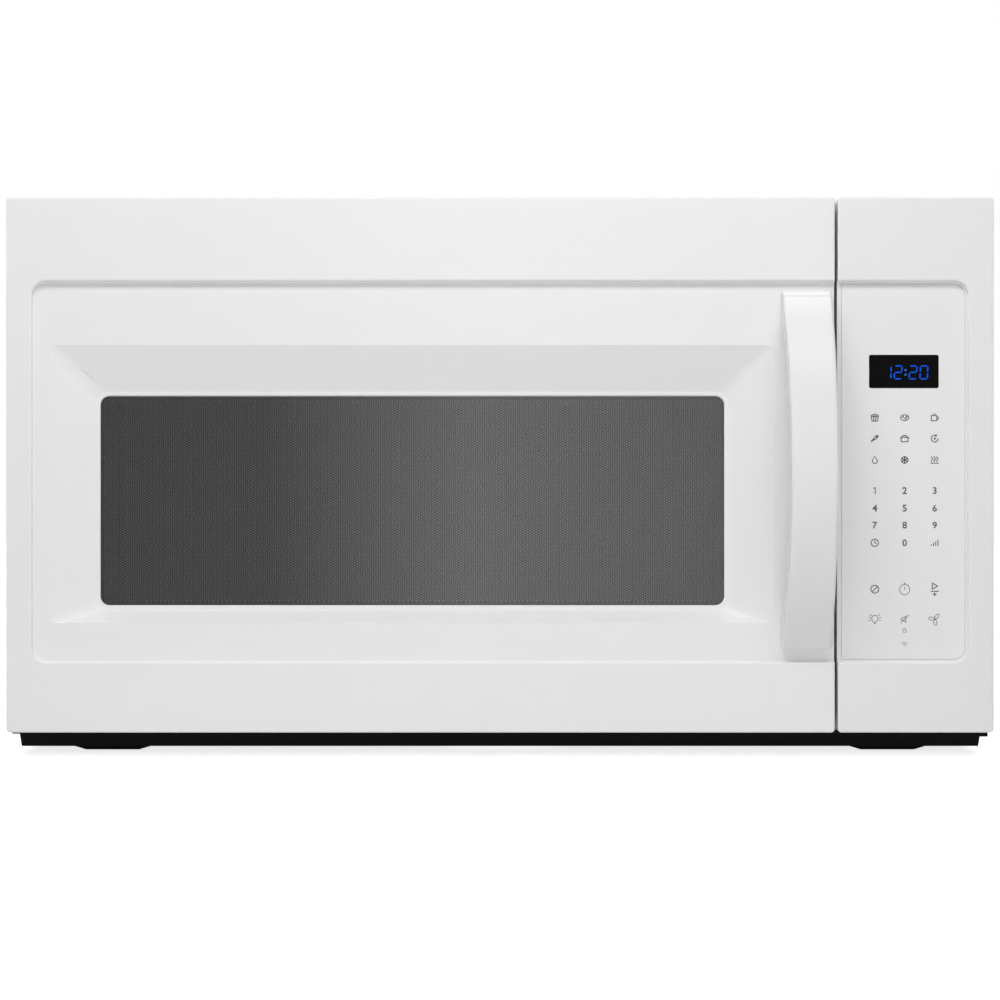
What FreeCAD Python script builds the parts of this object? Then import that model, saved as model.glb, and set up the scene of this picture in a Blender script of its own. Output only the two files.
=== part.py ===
"""Over-the-range microwave oven with a built-in cooktop hood, as the separate pieces it is assembled from.

Millimetres, +Z up. The front faces -Y, so a distance "forward" is measured from the wall face to the cook.
The origin is on the rear wall face, on the oven's centre line, level with the wall plate's support tabs.
"""
import FreeCAD
import Part
import Sketcher
import math
import os
import re

# ----------------------------------------------------------------------------------------------------------
# Driving sizes
# ----------------------------------------------------------------------------------------------------------
SIZES = {
    # Whole oven
    "front_width": 760.0,          # door, gap and control panel together
    "front_height": 412.0,         # door and control panel
    "cabinet_depth": 364.0,        # wall face to the front plate's outer face
    "cabinet_inset": 1.0,          # the cover's side stands back from the door's side
    "steel": 0.8,                  # sheet steel
    "base_lip": 16.0,              # base plate shows this far below the door
    "lip_slope": 12.0,
    "tab_height": 25.0,            # base plate's underside to the wall plate's tabs
    "fit_gap": 0.3,                # between a moving piece and its neighbour
    "pin_gap": 0.08,               # round a pin or shaft in its bearing
    # Door
    "door_gap": 2.0,               # front plate to the door's back
    "door_thickness": 40.0,
    "panel_gap": 2.3,              # between door and control panel
    "moulding_wall": 3.0,
    "moulding_corner": 3.0,
    "moulding_round": 1.6,
    "recess_depth": 5.0,
    "recess_side": 19.5,
    "recess_top": 64.6,
    "recess_bottom": 54.2,
    "recess_corner": 11.0,
    "recess_round": 1.2,
    "window_left": 69.4,           # window's left edge from the door's left side
    "window_right": 83.4,          # window's right edge from the door's right side
    "window_low": 97.2,            # window's bottom edge above the door's
    "window_high": 152.3,          # window's top edge below the door's
    "window_corner": 7.0,
    "window_rim": 3.5,             # flat rim round the window
    "window_round": 1.6,
    "funnel_depth": 14.0,          # bevel round the window
    "funnel_side": 36.8,
    "funnel_top": 38.8,
    "funnel_bottom": 13.2,
    "funnel_corner": 5.0,
    "window_lip": 2.0,
    "glass_overlap": 8.0,
    "glass_thickness": 3.0,
    "film_thickness": 1.0,
    "choke_land": 12.0,            # sealing face round the cavity mouth
    "choke_groove": 15.0,
    "choke_inset": 5.0,            # the land starts this far inside the cavity's edge
    "choke_cover_sheet": 1.2,
    "boss_radius": 4.5,
    "boss_side": 106.4,            # outer bosses from the door's left side
    "hinge_side": 9.0,             # hinge axis from the door's left side
    "hinge_back": 14.0,            # hinge axis in front of the door's back
    "hinge_pin_radius": 3.0,
    "hinge_pin_length": 9.0,
    "hinge_bush_length": 10.0,
    "hinge_leaf_half": 4.0,
    "hinge_notch_front": 9.5,
    "hinge_bush_wall": 2.0,
    "hinge_leaf": 2.0,
    "hinge_notch": 4.5,
    "swing_chamfer": 2.5,
    # Handle
    "handle_low_gap": 10.6,        # handle's bottom end above the sunken panel's edge
    "handle_high_gap": 7.6,        # handle's top end below the sunken panel's edge
    "handle_width": 38.0,
    "handle_waist": 1.5,           # each side draws in by this much half way up
    "handle_reach": 52.0,          # in front of the door's face
    "handle_middle": 16.0,         # thickness half way up
    "handle_tip": 9.0,             # thickness at its two ends
    "handle_foot": 26.0,
    "handle_edge_inset": 3.0,
    "handle_round": 2.4,
    "screw_radius": 2.0,
    "screw_head_radius": 4.0,
    "screw_head": 2.5,
    "screw_length": 11.0,
    # Control panel
    "panel_width": 120.0,
    "overlay_left": 3.5,
    "overlay_margin": 0.8,
    "overlay_thickness": 1.2,
    "display_width": 53.8,
    "display_height": 25.8,
    "display_corner": 1.6,
    "display_right": 41.6,         # display's right edge from the panel's right side
    "display_drop": 121.0,         # display's top edge below the panel's top
    "display_glass": 2.0,
    "board_width": 92.0,
    "board_height": 190.0,
    "board_thickness": 1.6,
    # Oven cavity
    "cavity_left": 30.0,           # cavity's left wall from the door's left side
    "cavity_headroom": 116.0,      # cavity's ceiling below the oven's top
    "cavity_rise": 70.0,           # cavity floor above the base plate's underside
    "cavity_corner": 14.0,
    "cavity_rear_gap": 14.0,
    "floor_dish_margin": 10.5,     # dished floor round the tray
    "floor_dish_depth": 4.0,
    "lamp_hole_radius": 2.2,
    "lamp_front": 38.0,            # cavity lamp's front edge behind the front plate
    "lamp_length": 50.0,
    # Turntable
    "tray_gap": 22.5,              # tray to the cavity's back wall and mouth
    "tray_glass": 4.5,
    "tray_rim": 11.0,
    "tray_lug_height": 4.0,
    "wheel_radius": 7.0,
    "wheel_width": 5.0,
    "axle_radius": 1.8,
    "track_radius": 107.5,
    "ring_height": 6.0,
    "ring_wall": 4.0,
    "spoke_width": 6.0,
    "hub_radius": 13.0,
    "motor_shaft_radius": 3.0,
    "coupler_radius": 9.0,
    "motor_radius": 25.0,
    "motor_height": 19.0,
    # Hood: filters, lamp, blower, vents
    "ear_drop": 2.2,               # turned-down edge of the base plate's ear
    "pad_height": 5.0,
    "pad_width": 76.0,
    "pad_length": 40.0,
    "pad_slope": 16.6,
    "pad_side": 29.7,              # pad's outer edge from the cover's side
    "pad_front": 22.0,             # pad's front edge behind the front plate
    "filter_lens_gap": 9.8,        # between each filter and the cooktop lens
    "filter_front": 110.0,         # filter's front edge behind the front plate
    "filter_thickness": 6.0,
    "filter_side": 36.0,
    "filter_rear": 112.0,          # wall face to the filter's rear edge
    "filter_ledge": 5.0,
    "filter_travel": 12.0,
    "lens_width": 92.0,
    "lens_length": 58.0,
    "lens_thickness": 3.0,
    "lens_front": 38.0,            # lens's front edge behind the front plate
    "grille_width": 640.0,
    "grille_length": 48.0,
    "grille_front": 8.0,           # its front edge behind the front plate
    "louvre_slot": 4.6,
    "blower_wheel_radius": 38.0,
    "blower_wheel_width": 52.0,
    "blower_shaft_radius": 4.0,
    "blower_wheel_side": 12.0,     # between the motor and each wheel
    "scroll_radius": 42.0,         # where the scroll starts
    "scroll_step": 5.0,            # how far each quarter of the scroll opens
    "scroll_wall": 1.6,
    "scroll_side_gap": 1.4,
    "scroll_duct": 72.0,           # blower axis to the duct's mouth
    "vent_motor_radius": 38.0,
    "vent_motor_length": 62.0,
    "blower_rear": 92.0,           # blower axis in front of the wall face
    "carbon_width": 330.0,
    "carbon_length": 84.0,
    "carbon_thickness": 18.0,
    # Component bay
    "bay_width": 185.0,            # cavity's right wall from the panel's right side
    "shelf_rise": 56.0,            # shelf above the base plate's underside
    "antenna_radius": 7.5,
    "waveguide_width": 88.0,
    "waveguide_reach": 40.0,
    "waveguide_height": 120.0,
    "magnetron_width": 78.0,
    "magnetron_height": 92.0,
    "magnetron_reach": 82.0,
    "core_width": 92.0,
    "core_length": 76.0,
    "core_height": 70.0,
    "fan_side": 108.0,             # fan axis from the panel's right side
    "fan_rise": 179.0,             # fan and magnetron axis above the cavity's floor
    "fan_radius": 50.0,
    "fan_width": 20.0,
    "fan_wall": 62.0,              # fan bracket in front of the wall face
    "fan_shaft_radius": 2.5,
    "bend": 3.0,                   # outer bend radius of the cover
    "cord_hole_radius": 13.0,
    "cord_bush_bore": 8.0,
    "mount_hole_radius": 3.4,
    "mount_collar_radius": 6.0,
    "mount_spacing": 610.0,
    "mount_rear": 215.0,           # cabinet bolts in front of the wall face
    "hook_slot_width": 60.0,
    "hook_slot_height": 8.0,
    "hook_slot_spacing": 400.0,
    # Latch
    "latch_plate": 3.0,
    "latch_travel": 4.0,
    "latch_reach": 22.0,           # how far the hooks stand out of the door
    "latch_low": 118.0,            # lower and upper hook above the door's bottom edge
    "latch_high": 278.0,
    "latch_right": 24.0,           # hook plate from the door's right side
    "hook_shank": 10.0,
    "hook_barb": 3.5,
    "latch_bar": 9.0,
    "latch_overrun": 16.0,         # bar above the upper hook
    "spring_radius": 2.6,
    "spring_wire": 0.45,
    "spring_length": 18.0,
}

doc = FreeCAD.newDocument("over_range_microwave")
sheet = doc.addObject("Spreadsheet::Sheet", "dims")
for row, (alias, value) in enumerate(SIZES.items(), start=1):
    sheet.set(f"A{row}", alias)
    sheet.set(f"B{row}", str(value))
    sheet.setAlias(f"B{row}", alias)
doc.recompute()

# ----------------------------------------------------------------------------------------------------------
# Helpers: formulas in plain size names, primitives, booleans, sketches and features
# ----------------------------------------------------------------------------------------------------------
FINISHED = {}                      # node name -> the document object that makes it


def formula(text):
    """A formula in bare size names, as an expression on the sheet's cells."""
    return re.sub(r"[a-z]\w+",
                  lambda word: f"dims.{word.group()}" if word.group() in SIZES else word.group(), str(text))


def mm(text):
    """What a formula comes to, in millimetres."""
    return float(sheet.evalExpression(formula(text)))


def bind(item, **formulas):
    for name, text in formulas.items():
        item.setExpression(name, formula(text))


def place(item, x, y, z, turn=None):
    if turn:
        item.Placement = FreeCAD.Placement(FreeCAD.Vector(),
                                           FreeCAD.Rotation(FreeCAD.Vector(*turn[0]), turn[1]))
    for letter, text in (("x", x), ("y", y), ("z", z)):
        item.setExpression(f"Placement.Base.{letter}", formula(text))


def block(name, x, forward, z):
    """A box between two formulas each way; forward is measured from the wall face towards -Y."""
    box = doc.addObject("Part::Box", name)
    bind(box, Length=f"({x[1]}) - ({x[0]})", Width=f"({forward[1]}) - ({forward[0]})",
         Height=f"({z[1]}) - ({z[0]})")
    place(box, x[0], f"-({forward[1]})", z[0])
    return box


TURNS = {"x": ((0, 1, 0), 90), "forward": ((1, 0, 0), 90), "z": None}


def axis_place(item, along, start, at):
    """A round primitive based at start on an axis along x, forward or z, at the other two places."""
    spots = {"x": (start, f"-({at[0]})", at[1]), "forward": (at[0], f"-({start})", at[1]),
             "z": (at[0], f"-({at[1]})", start)}
    place(item, *spots[along], turn=TURNS[along])


def rod(name, radius, along, span, at):
    """A cylinder: along x (at forward, z), along forward (at x, z) or along z (at x, forward)."""
    cylinder = doc.addObject("Part::Cylinder", name)
    bind(cylinder, Radius=radius, Height=f"({span[1]}) - ({span[0]})")
    axis_place(cylinder, along, span[0], at)
    return cylinder


def cone(name, radii, along, span, at):
    frustum = doc.addObject("Part::Cone", name)
    bind(frustum, Radius1=radii[0], Radius2=radii[1], Height=f"({span[1]}) - ({span[0]})")
    axis_place(frustum, along, span[0], at)
    return frustum


def fuse(name, *pieces):
    joined = doc.addObject("Part::MultiFuse", name)
    joined.Shapes = list(pieces)
    return joined


def cut(name, base, *tools):
    result = doc.addObject("Part::Cut", name)
    result.Base = base
    result.Tool = tools[0] if len(tools) == 1 else fuse(f"{name}_tools", *tools)
    return result


def common(name, first, second):
    result = doc.addObject("Part::Common", name)
    result.Base = first
    result.Tool = second
    return result


def group(name, *pieces):
    """Separate solids that share one node."""
    several = doc.addObject("Part::Compound", name)
    several.Links = list(pieces)
    return several


def finish(label, item):
    """Marks a finished sub-part. Its label names its node and its file."""
    item.Label = label
    FINISHED[label] = item
    return item


def new_body(name):
    return doc.addObject("PartDesign::Body", name)


def sketch_on(body, plane, level="0"):
    """A sketch in one of the body's origin planes, moved along its normal: XY up, XZ forward, YZ right."""
    sketch = body.newObject("Sketcher::SketchObject", f"{body.Name}_sketch")
    origin = next(item for item in body.Origin.OriginFeatures if item.Role == f"{plane}_Plane")
    sketch.AttachmentSupport = (origin, [""])
    sketch.MapMode = "FlatFace"
    sketch.setExpression("AttachmentOffset.Base.z", formula(level))
    return sketch


def fix(sketch, kind, *target, to):
    """One dimension of a sketch, bound to a formula."""
    index = sketch.addConstraint(Sketcher.Constraint(kind, *target, mm(to)))
    sketch.setExpression(f"Constraints[{index}]", formula(to))


def point(x, y):
    return FreeCAD.Vector(mm(x), mm(y), 0)


def outline(sketch, corners):
    """A closed outline. A corner is (x, y), or (x, y, r) where an arc of radius r arrives there, turning left
    if r is positive and right if it is negative. All are formulas; a leading minus sign makes r negative."""
    first = sketch.GeometryCount
    places = [point(corner[0], corner[1]) for corner in corners]
    count = len(corners)
    for index in range(count):
        start, corner, end = places[index - 1], corners[index], places[index]
        if len(corner) == 2:
            sketch.addGeometry(Part.LineSegment(start, end), False)
            continue
        radius = mm(corner[2])
        half = (end - start) * 0.5
        rise = math.sqrt(max(radius * radius - half.Length ** 2, 0.0))
        left = FreeCAD.Vector(-half.y, half.x, 0).normalize()
        centre = start + half + left * math.copysign(rise, radius)
        middle = centre - left * math.copysign(abs(radius), radius)
        sketch.addGeometry(Part.Arc(start, middle, end), False)
    for index, corner in enumerate(corners):
        line, following = first + index, first + (index + 1) % count
        turns_right = len(corner) == 3 and mm(corner[2]) < 0
        next_right = len(corners[(index + 1) % count]) == 3 and mm(corners[(index + 1) % count][2]) < 0
        end_point, start_point = (1 if turns_right else 2), (2 if next_right else 1)
        sketch.addConstraint(Sketcher.Constraint("Coincident", line, end_point, following, start_point))
        fix(sketch, "DistanceX", -1, 1, line, end_point, to=corner[0])
        fix(sketch, "DistanceY", -1, 1, line, end_point, to=corner[1])
        if len(corner) == 3:
            fix(sketch, "Radius", line, to=f"abs({corner[2]})")
    return sketch


def rectangle(sketch, x, y, radius=None):
    """A rectangle between two formulas each way, with rounded corners if a radius is given."""
    if radius is None:
        return outline(sketch, [(x[0], y[0]), (x[1], y[0]), (x[1], y[1]), (x[0], y[1])])
    first, size = sketch.GeometryCount, mm(radius)
    left, right, low, high = mm(x[0]), mm(x[1]), mm(y[0]), mm(y[1])
    centres = [(right - size, low + size), (right - size, high - size), (left + size, high - size),
               (left + size, low + size)]
    ends = [(left + size, low, right - size, low), (right, low + size, right, high - size),
            (right - size, high, left + size, high), (left, high - size, left, low + size)]
    for side in range(4):
        x1, y1, x2, y2 = ends[side]
        sketch.addGeometry(Part.LineSegment(FreeCAD.Vector(x1, y1, 0), FreeCAD.Vector(x2, y2, 0)), False)
        circle = Part.Circle(FreeCAD.Vector(*centres[side], 0), FreeCAD.Vector(0, 0, 1), size)
        sketch.addGeometry(Part.ArcOfCircle(circle, (side - 1) * math.pi / 2, side * math.pi / 2), False)
    for piece in range(8):
        sketch.addConstraint(Sketcher.Constraint("Tangent", first + piece, 2, first + (piece + 1) % 8, 1))
    for side, level in enumerate(("Horizontal", "Vertical", "Horizontal", "Vertical")):
        sketch.addConstraint(Sketcher.Constraint(level, first + 2 * side))
        if side:
            sketch.addConstraint(Sketcher.Constraint("Equal", first + 1, first + 2 * side + 1))
    fix(sketch, "Radius", first + 1, to=radius)
    fix(sketch, "DistanceY", -1, 1, first, 1, to=y[0])
    fix(sketch, "DistanceX", -1, 1, first + 2, 1, to=x[1])
    fix(sketch, "DistanceY", -1, 1, first + 4, 1, to=y[1])
    fix(sketch, "DistanceX", -1, 1, first + 6, 1, to=x[0])
    return sketch


def circle(sketch, x, y, radius):
    index = sketch.addGeometry(Part.Circle(point(x, y), FreeCAD.Vector(0, 0, 1), mm(radius)), False)
    fix(sketch, "Radius", index, to=radius)
    fix(sketch, "DistanceX", -1, 1, index, 3, to=x)
    fix(sketch, "DistanceY", -1, 1, index, 3, to=y)
    return sketch


def feature(body, kind, profile, **settings):
    item = body.newObject(f"PartDesign::{kind}", f"{body.Name}_{kind}")
    item.Profile = profile
    for name, setting in settings.items():
        setattr(item, name, setting)
    return item


def pad(body, profile, length, back=False):
    item = feature(body, "Pad", profile, Reversed=back)
    bind(item, Length=length)
    return item


def pocket(body, profile, length, ahead=False):
    """Cuts against the sketch's normal, or along it if ahead is true."""
    item = feature(body, "Pocket", profile, Reversed=ahead)
    bind(item, Length=length)
    return item


def revolve(body, profile, kind="Revolution"):
    return feature(body, kind, profile, ReferenceAxis=(profile, ["V_Axis"]), Angle=360.0)


def loft(body, start, end, kind="AdditiveLoft"):
    return feature(body, kind, start, Sections=[end], Ruled=True)


def polar(body, original, count):
    """Turns copies of a feature round the body's own upright axis."""
    item = body.newObject("PartDesign::PolarPattern", f"{body.Name}_polar")
    item.Originals = [original]
    item.Axis = (next(axis for axis in body.Origin.OriginFeatures if axis.Role == "Z_Axis"), [""])
    item.Angle = 360.0
    item.Occurrences = count
    body.Tip = item
    return item


def linear(body, original, direction, span, count):
    """Repeats a feature along its sketch's own H_Axis or V_Axis."""
    item = body.newObject("PartDesign::LinearPattern", f"{body.Name}_linear")
    item.Originals = [original]
    item.Direction = (original.Profile[0], [direction])
    item.Occurrences = count
    bind(item, Length=span)
    body.Tip = item
    return item


def soften(body, base, radius, chosen, kind="Fillet"):
    """Rounds or chamfers the edges of a feature that chosen(edge) picks."""
    doc.recompute()
    names = [f"Edge{number}" for number, edge in enumerate(base.Shape.Edges, start=1) if chosen(edge)]
    item = body.newObject(f"PartDesign::{kind}", f"{body.Name}_{kind}")
    item.Base = (base, names)
    bind(item, **{"Radius" if kind == "Fillet" else "Size": radius})
    return item


def near(number, target, slack=0.01):
    return abs(number - target) < slack


def lies_at(edge, **levels):
    """True if the whole edge lies at the given x, y or z levels."""
    box = edge.BoundBox
    return all(near(getattr(box, f"{letter.upper()}Min"), level)
               and near(getattr(box, f"{letter.upper()}Max"), level)
               for letter, level in levels.items())


# ----------------------------------------------------------------------------------------------------------
# Levels that the pieces share, as formulas
# ----------------------------------------------------------------------------------------------------------
SIDE = "(front_width/2)"                                        # door's left side and panel's right side
COVER = f"({SIDE} - cabinet_inset)"                             # cover's outer side
BASE = "(-tab_height)"                                         # base plate's underside
BOTTOM = "(base_lip - tab_height)"                             # bottom edge of the door and the panel
TOP = f"({BOTTOM} + front_height)"                              # top of the door, the panel and the cover
PLATE_BACK = "(cabinet_depth - steel)"                          # front plate's inner face, forward
DOOR_BACK = "(cabinet_depth + door_gap)"
DOOR_FACE = f"({DOOR_BACK} + door_thickness)"
RECESS = f"({DOOR_FACE} - recess_depth)"                        # sunken face of the door and the panel
WINDOW = f"({RECESS} - funnel_depth)"                           # small end of the window bevel
GLASS_FACE = f"({WINDOW} - window_lip)"
GLASS_BACK = f"({GLASS_FACE} - glass_thickness)"
DOOR_RIGHT = f"({SIDE} - panel_width - panel_gap)"
PANEL_LEFT = f"({SIDE} - panel_width)"
RECESS_LOW = f"({BOTTOM} + recess_bottom)"
RECESS_HIGH = f"({TOP} - recess_top)"
WINDOW_X = (f"(-{SIDE} + window_left)", f"({DOOR_RIGHT} - window_right)")
WINDOW_Z = (f"({BOTTOM} + window_low)", f"({TOP} - window_high)")
CAVITY_X = (f"(-{SIDE} + cavity_left)", f"({SIDE} - bay_width)")
CAVITY_Z = ("(cavity_rise - tab_height)", f"({TOP} - cavity_headroom)")
CAVITY_BACK = "cavity_rear_gap"
HINGE_X = f"(-{SIDE} + hinge_side)"
HINGE_F = f"({DOOR_BACK} + hinge_back)"
TABLE_F = f"(({CAVITY_BACK} + cabinet_depth)/2)"                # turntable axis
TRAY_RADIUS = f"((cabinet_depth - {CAVITY_BACK})/2 - tray_gap)"
BUSH_RADIUS = "(hinge_pin_radius + pin_gap + hinge_bush_wall)"


def grown(span, by):
    """A span of two formulas, larger by one formula at each end."""
    return (f"({span[0]} - ({by}))", f"({span[1]} + ({by}))")


def prism(name, plane, level, length, corners, back=False):
    """One padded outline."""
    body = new_body(name)
    pad(body, outline(sketch_on(body, plane, level), corners), length, back)
    return body


def plate(name, x, z, start, thickness, radius=None):
    """An upright plate that faces forward."""
    body = new_body(name)
    pad(body, rectangle(sketch_on(body, "XZ", start), x, z, radius), thickness)
    return body


# ----------------------------------------------------------------------------------------------------------
# Door
# ----------------------------------------------------------------------------------------------------------
DOOR_X = (f"(-{SIDE})", DOOR_RIGHT)
DOOR_Z = (BOTTOM, TOP)
COVER_FACE = f"({DOOR_BACK} + choke_cover_sheet)"               # front side of the choke cover, forward
PAN_X = grown(CAVITY_X,
              "-choke_inset")                         # inner frame's pan, seen through the cavity mouth
PAN_Z = grown(CAVITY_Z, "-choke_inset")
LATCH_X = (f"({DOOR_RIGHT} - latch_right)", f"({DOOR_RIGHT} - latch_right + latch_plate)")
LATCH_MID = f"({DOOR_RIGHT} - latch_right + latch_plate/2)"
LATCH_HOOKS = (f"({BOTTOM} + latch_low)", f"({BOTTOM} + latch_high)")
LATCH_BAR = (f"({COVER_FACE} + fit_gap)", f"({COVER_FACE} + fit_gap + latch_bar)")
LATCH_TOP = f"({LATCH_HOOKS[1]} + latch_overrun)"
SPRING_SEAT = f"({LATCH_TOP} + spring_length)"
COVER_SCREWS = [(x, z) for z in (f"({TOP} - recess_top/2)", f"({BOTTOM} + recess_bottom*0.3)")
                for x in (f"(-{SIDE} + boss_side)", f"(({WINDOW_X[0]} + {WINDOW_X[1]})/2)",
                          f"({DOOR_RIGHT} - 44)")]
HANDLE_X = (f"({DOOR_RIGHT} - handle_edge_inset - handle_width)", f"({DOOR_RIGHT} - handle_edge_inset)")
HANDLE_MID = f"({DOOR_RIGHT} - handle_edge_inset - handle_width/2)"
HANDLE_ENDS = (f"({RECESS_LOW} + handle_low_gap)", f"({RECESS_HIGH} - handle_high_gap)")
HANDLE_LENGTH = f"({HANDLE_ENDS[1]} - {HANDLE_ENDS[0]})"
HANDLE_SCREWS = (f"({HANDLE_ENDS[0]} + handle_foot/2)", f"({HANDLE_ENDS[1]} - handle_foot/2)")


def sunken_panel(body, x, inner_edge):
    """Sinks the panel that runs across the door and the control panel, and softens its rim and the
    moulding's own.
    inner_edge is the x level where the two mouldings face each other: the panel runs out there."""
    profile = rectangle(sketch_on(body, "XZ", DOOR_FACE), x, (RECESS_LOW, RECESS_HIGH), "recess_corner")
    sunk = pocket(body, profile, "recess_depth")
    level, face, floor = mm(inner_edge), -mm(DOOR_FACE), -mm(RECESS)
    valley = soften(body, sunk, "recess_round", lambda edge: lies_at(edge, y=floor)
                    and not lies_at(edge, x=level)
                    and edge.BoundBox.DiagonalLength > mm("recess_corner"))
    return soften(body, valley, "moulding_round", lambda edge: lies_at(edge, y=face)
                  and not lies_at(edge, x=level))


def door_moulding():
    """The white front: a hollow shell with the sunken panel, a bevelled window funnel, screw bosses, and
    blocks for the two hinge bushes."""
    body = new_body("door_moulding")
    shell = rectangle(sketch_on(body, "XZ", DOOR_BACK), DOOR_X, DOOR_Z, "moulding_corner")
    pad(body, shell, "door_thickness")
    hollow = rectangle(sketch_on(body, "XZ", DOOR_BACK), grown(DOOR_X, "-moulding_wall"),
                       grown(DOOR_Z, "-moulding_wall"))
    pocket(body, hollow, "door_thickness - moulding_wall", ahead=True)
    # The sunken panel's floor, one wall thick
    floor_x = (f"(-{SIDE} + recess_side - moulding_wall)", f"({DOOR_RIGHT} - moulding_wall/2)")
    floor_z = (f"({RECESS_LOW} - moulding_wall)", f"({RECESS_HIGH} + moulding_wall)")
    floor = rectangle(sketch_on(body, "XZ", f"{RECESS} - moulding_wall"), floor_x, floor_z)
    pad(body, floor, "recess_depth + moulding_wall/2")
    # The outside of the window funnel
    funnel_x = grown(WINDOW_X, "funnel_side")
    funnel_z = (f"({WINDOW_Z[0]} - funnel_bottom)", f"({WINDOW_Z[1]} + funnel_top)")
    seat = rectangle(sketch_on(body, "XZ", GLASS_FACE), grown(WINDOW_X, "(glass_overlap + 2)"),
                     grown(WINDOW_Z, "(glass_overlap + 2)"), "window_corner + glass_overlap")
    skirt = rectangle(sketch_on(body, "XZ", f"{RECESS} - moulding_wall/2"),
                      grown(funnel_x, "moulding_wall"),
                      grown(funnel_z, "moulding_wall"), "funnel_corner + moulding_wall")
    loft(body, seat, skirt)
    # Hinge blocks at both left corners, and the bosses that the choke cover is screwed to
    block_x = (f"(-{SIDE} + moulding_wall/2)", f"({HINGE_X} + {BUSH_RADIUS} + moulding_wall)")
    block_y = (f"(-({HINGE_F} + {BUSH_RADIUS} + moulding_wall))", f"(-{COVER_FACE})")
    low_block = rectangle(sketch_on(body, "XY", f"{BOTTOM} + moulding_wall/2"), block_x, block_y)
    pad(body, low_block, "hinge_pin_length + moulding_wall")
    high_block = rectangle(sketch_on(body, "XY", f"{TOP} - moulding_wall/2"), block_x,
                           (f"(-({DOOR_FACE} - moulding_wall/2))", f"(-{COVER_FACE})"))
    pad(body, high_block, "hinge_notch + hinge_pin_length + moulding_wall", back=True)
    bosses = sketch_on(body, "XZ", COVER_FACE)
    for x, z in COVER_SCREWS:
        circle(bosses, x, z, "boss_radius")
    pad(body, bosses, f"{DOOR_FACE} - moulding_wall/2 - {COVER_FACE}")
    sunken_panel(body, (f"(-{SIDE} + recess_side)", f"({DOOR_RIGHT} + panel_width)"), DOOR_RIGHT)
    # The funnel and the window opening
    mouth = rectangle(sketch_on(body, "XZ", RECESS), funnel_x, funnel_z, "funnel_corner")
    throat = rectangle(sketch_on(body, "XZ", WINDOW), grown(WINDOW_X, "window_rim"),
                       grown(WINDOW_Z, "window_rim"), "window_corner + window_rim")
    loft(body, throat, mouth, "SubtractiveLoft")
    opening = rectangle(sketch_on(body, "XZ", WINDOW), WINDOW_X, WINDOW_Z, "window_corner")
    opened = pocket(body, opening, "window_lip + funnel_depth")
    rim, left, right = -mm(WINDOW), mm(WINDOW_X[0]) - 0.1, mm(WINDOW_X[1]) + 0.1
    soften(body, opened, "window_round", lambda edge: lies_at(edge, y=rim)
           and edge.BoundBox.XMin > left and edge.BoundBox.XMax < right)
    # Bush holes, and the notch that the upper hinge leaf reaches into
    pocket(body, circle(sketch_on(body, "XY", BOTTOM), HINGE_X, f"-{HINGE_F}", BUSH_RADIUS),
           "hinge_bush_length", ahead=True)
    pocket(body, circle(sketch_on(body, "XY", TOP), HINGE_X, f"-{HINGE_F}", BUSH_RADIUS),
           "hinge_notch + hinge_bush_length")
    notch_y = (f"(-({HINGE_F} + hinge_notch_front))", f"(-{DOOR_BACK} + 1)")
    notch = rectangle(sketch_on(body, "XY", TOP), (f"(-{SIDE} - 1)", f"({HINGE_X} + {BUSH_RADIUS} + 2)"),
                      notch_y)
    pocket(body, notch, "hinge_notch")
    # Holes for the handle's screws and for the choke cover's
    screws = sketch_on(body, "XZ", DOOR_FACE)
    for z in HANDLE_SCREWS:
        circle(screws, HANDLE_MID, z, "screw_radius")
    pocket(body, screws, "door_thickness/2")
    screws = sketch_on(body, "XZ", COVER_FACE)
    for x, z in COVER_SCREWS:
        circle(screws, x, z, "screw_radius")
    last = pocket(body, screws, "screw_length", ahead=True)
    # The back left edge is chamfered, so that it swings past the front plate
    side, back = -mm(SIDE), -mm(DOOR_BACK)
    soften(body, last, "swing_chamfer", lambda edge: near(edge.BoundBox.YMin, back)
           and near(edge.BoundBox.YMax, back)
           and near(edge.BoundBox.XMin, side) and edge.BoundBox.ZLength > 1, "Chamfer")
    finish("door_moulding", body)


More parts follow.
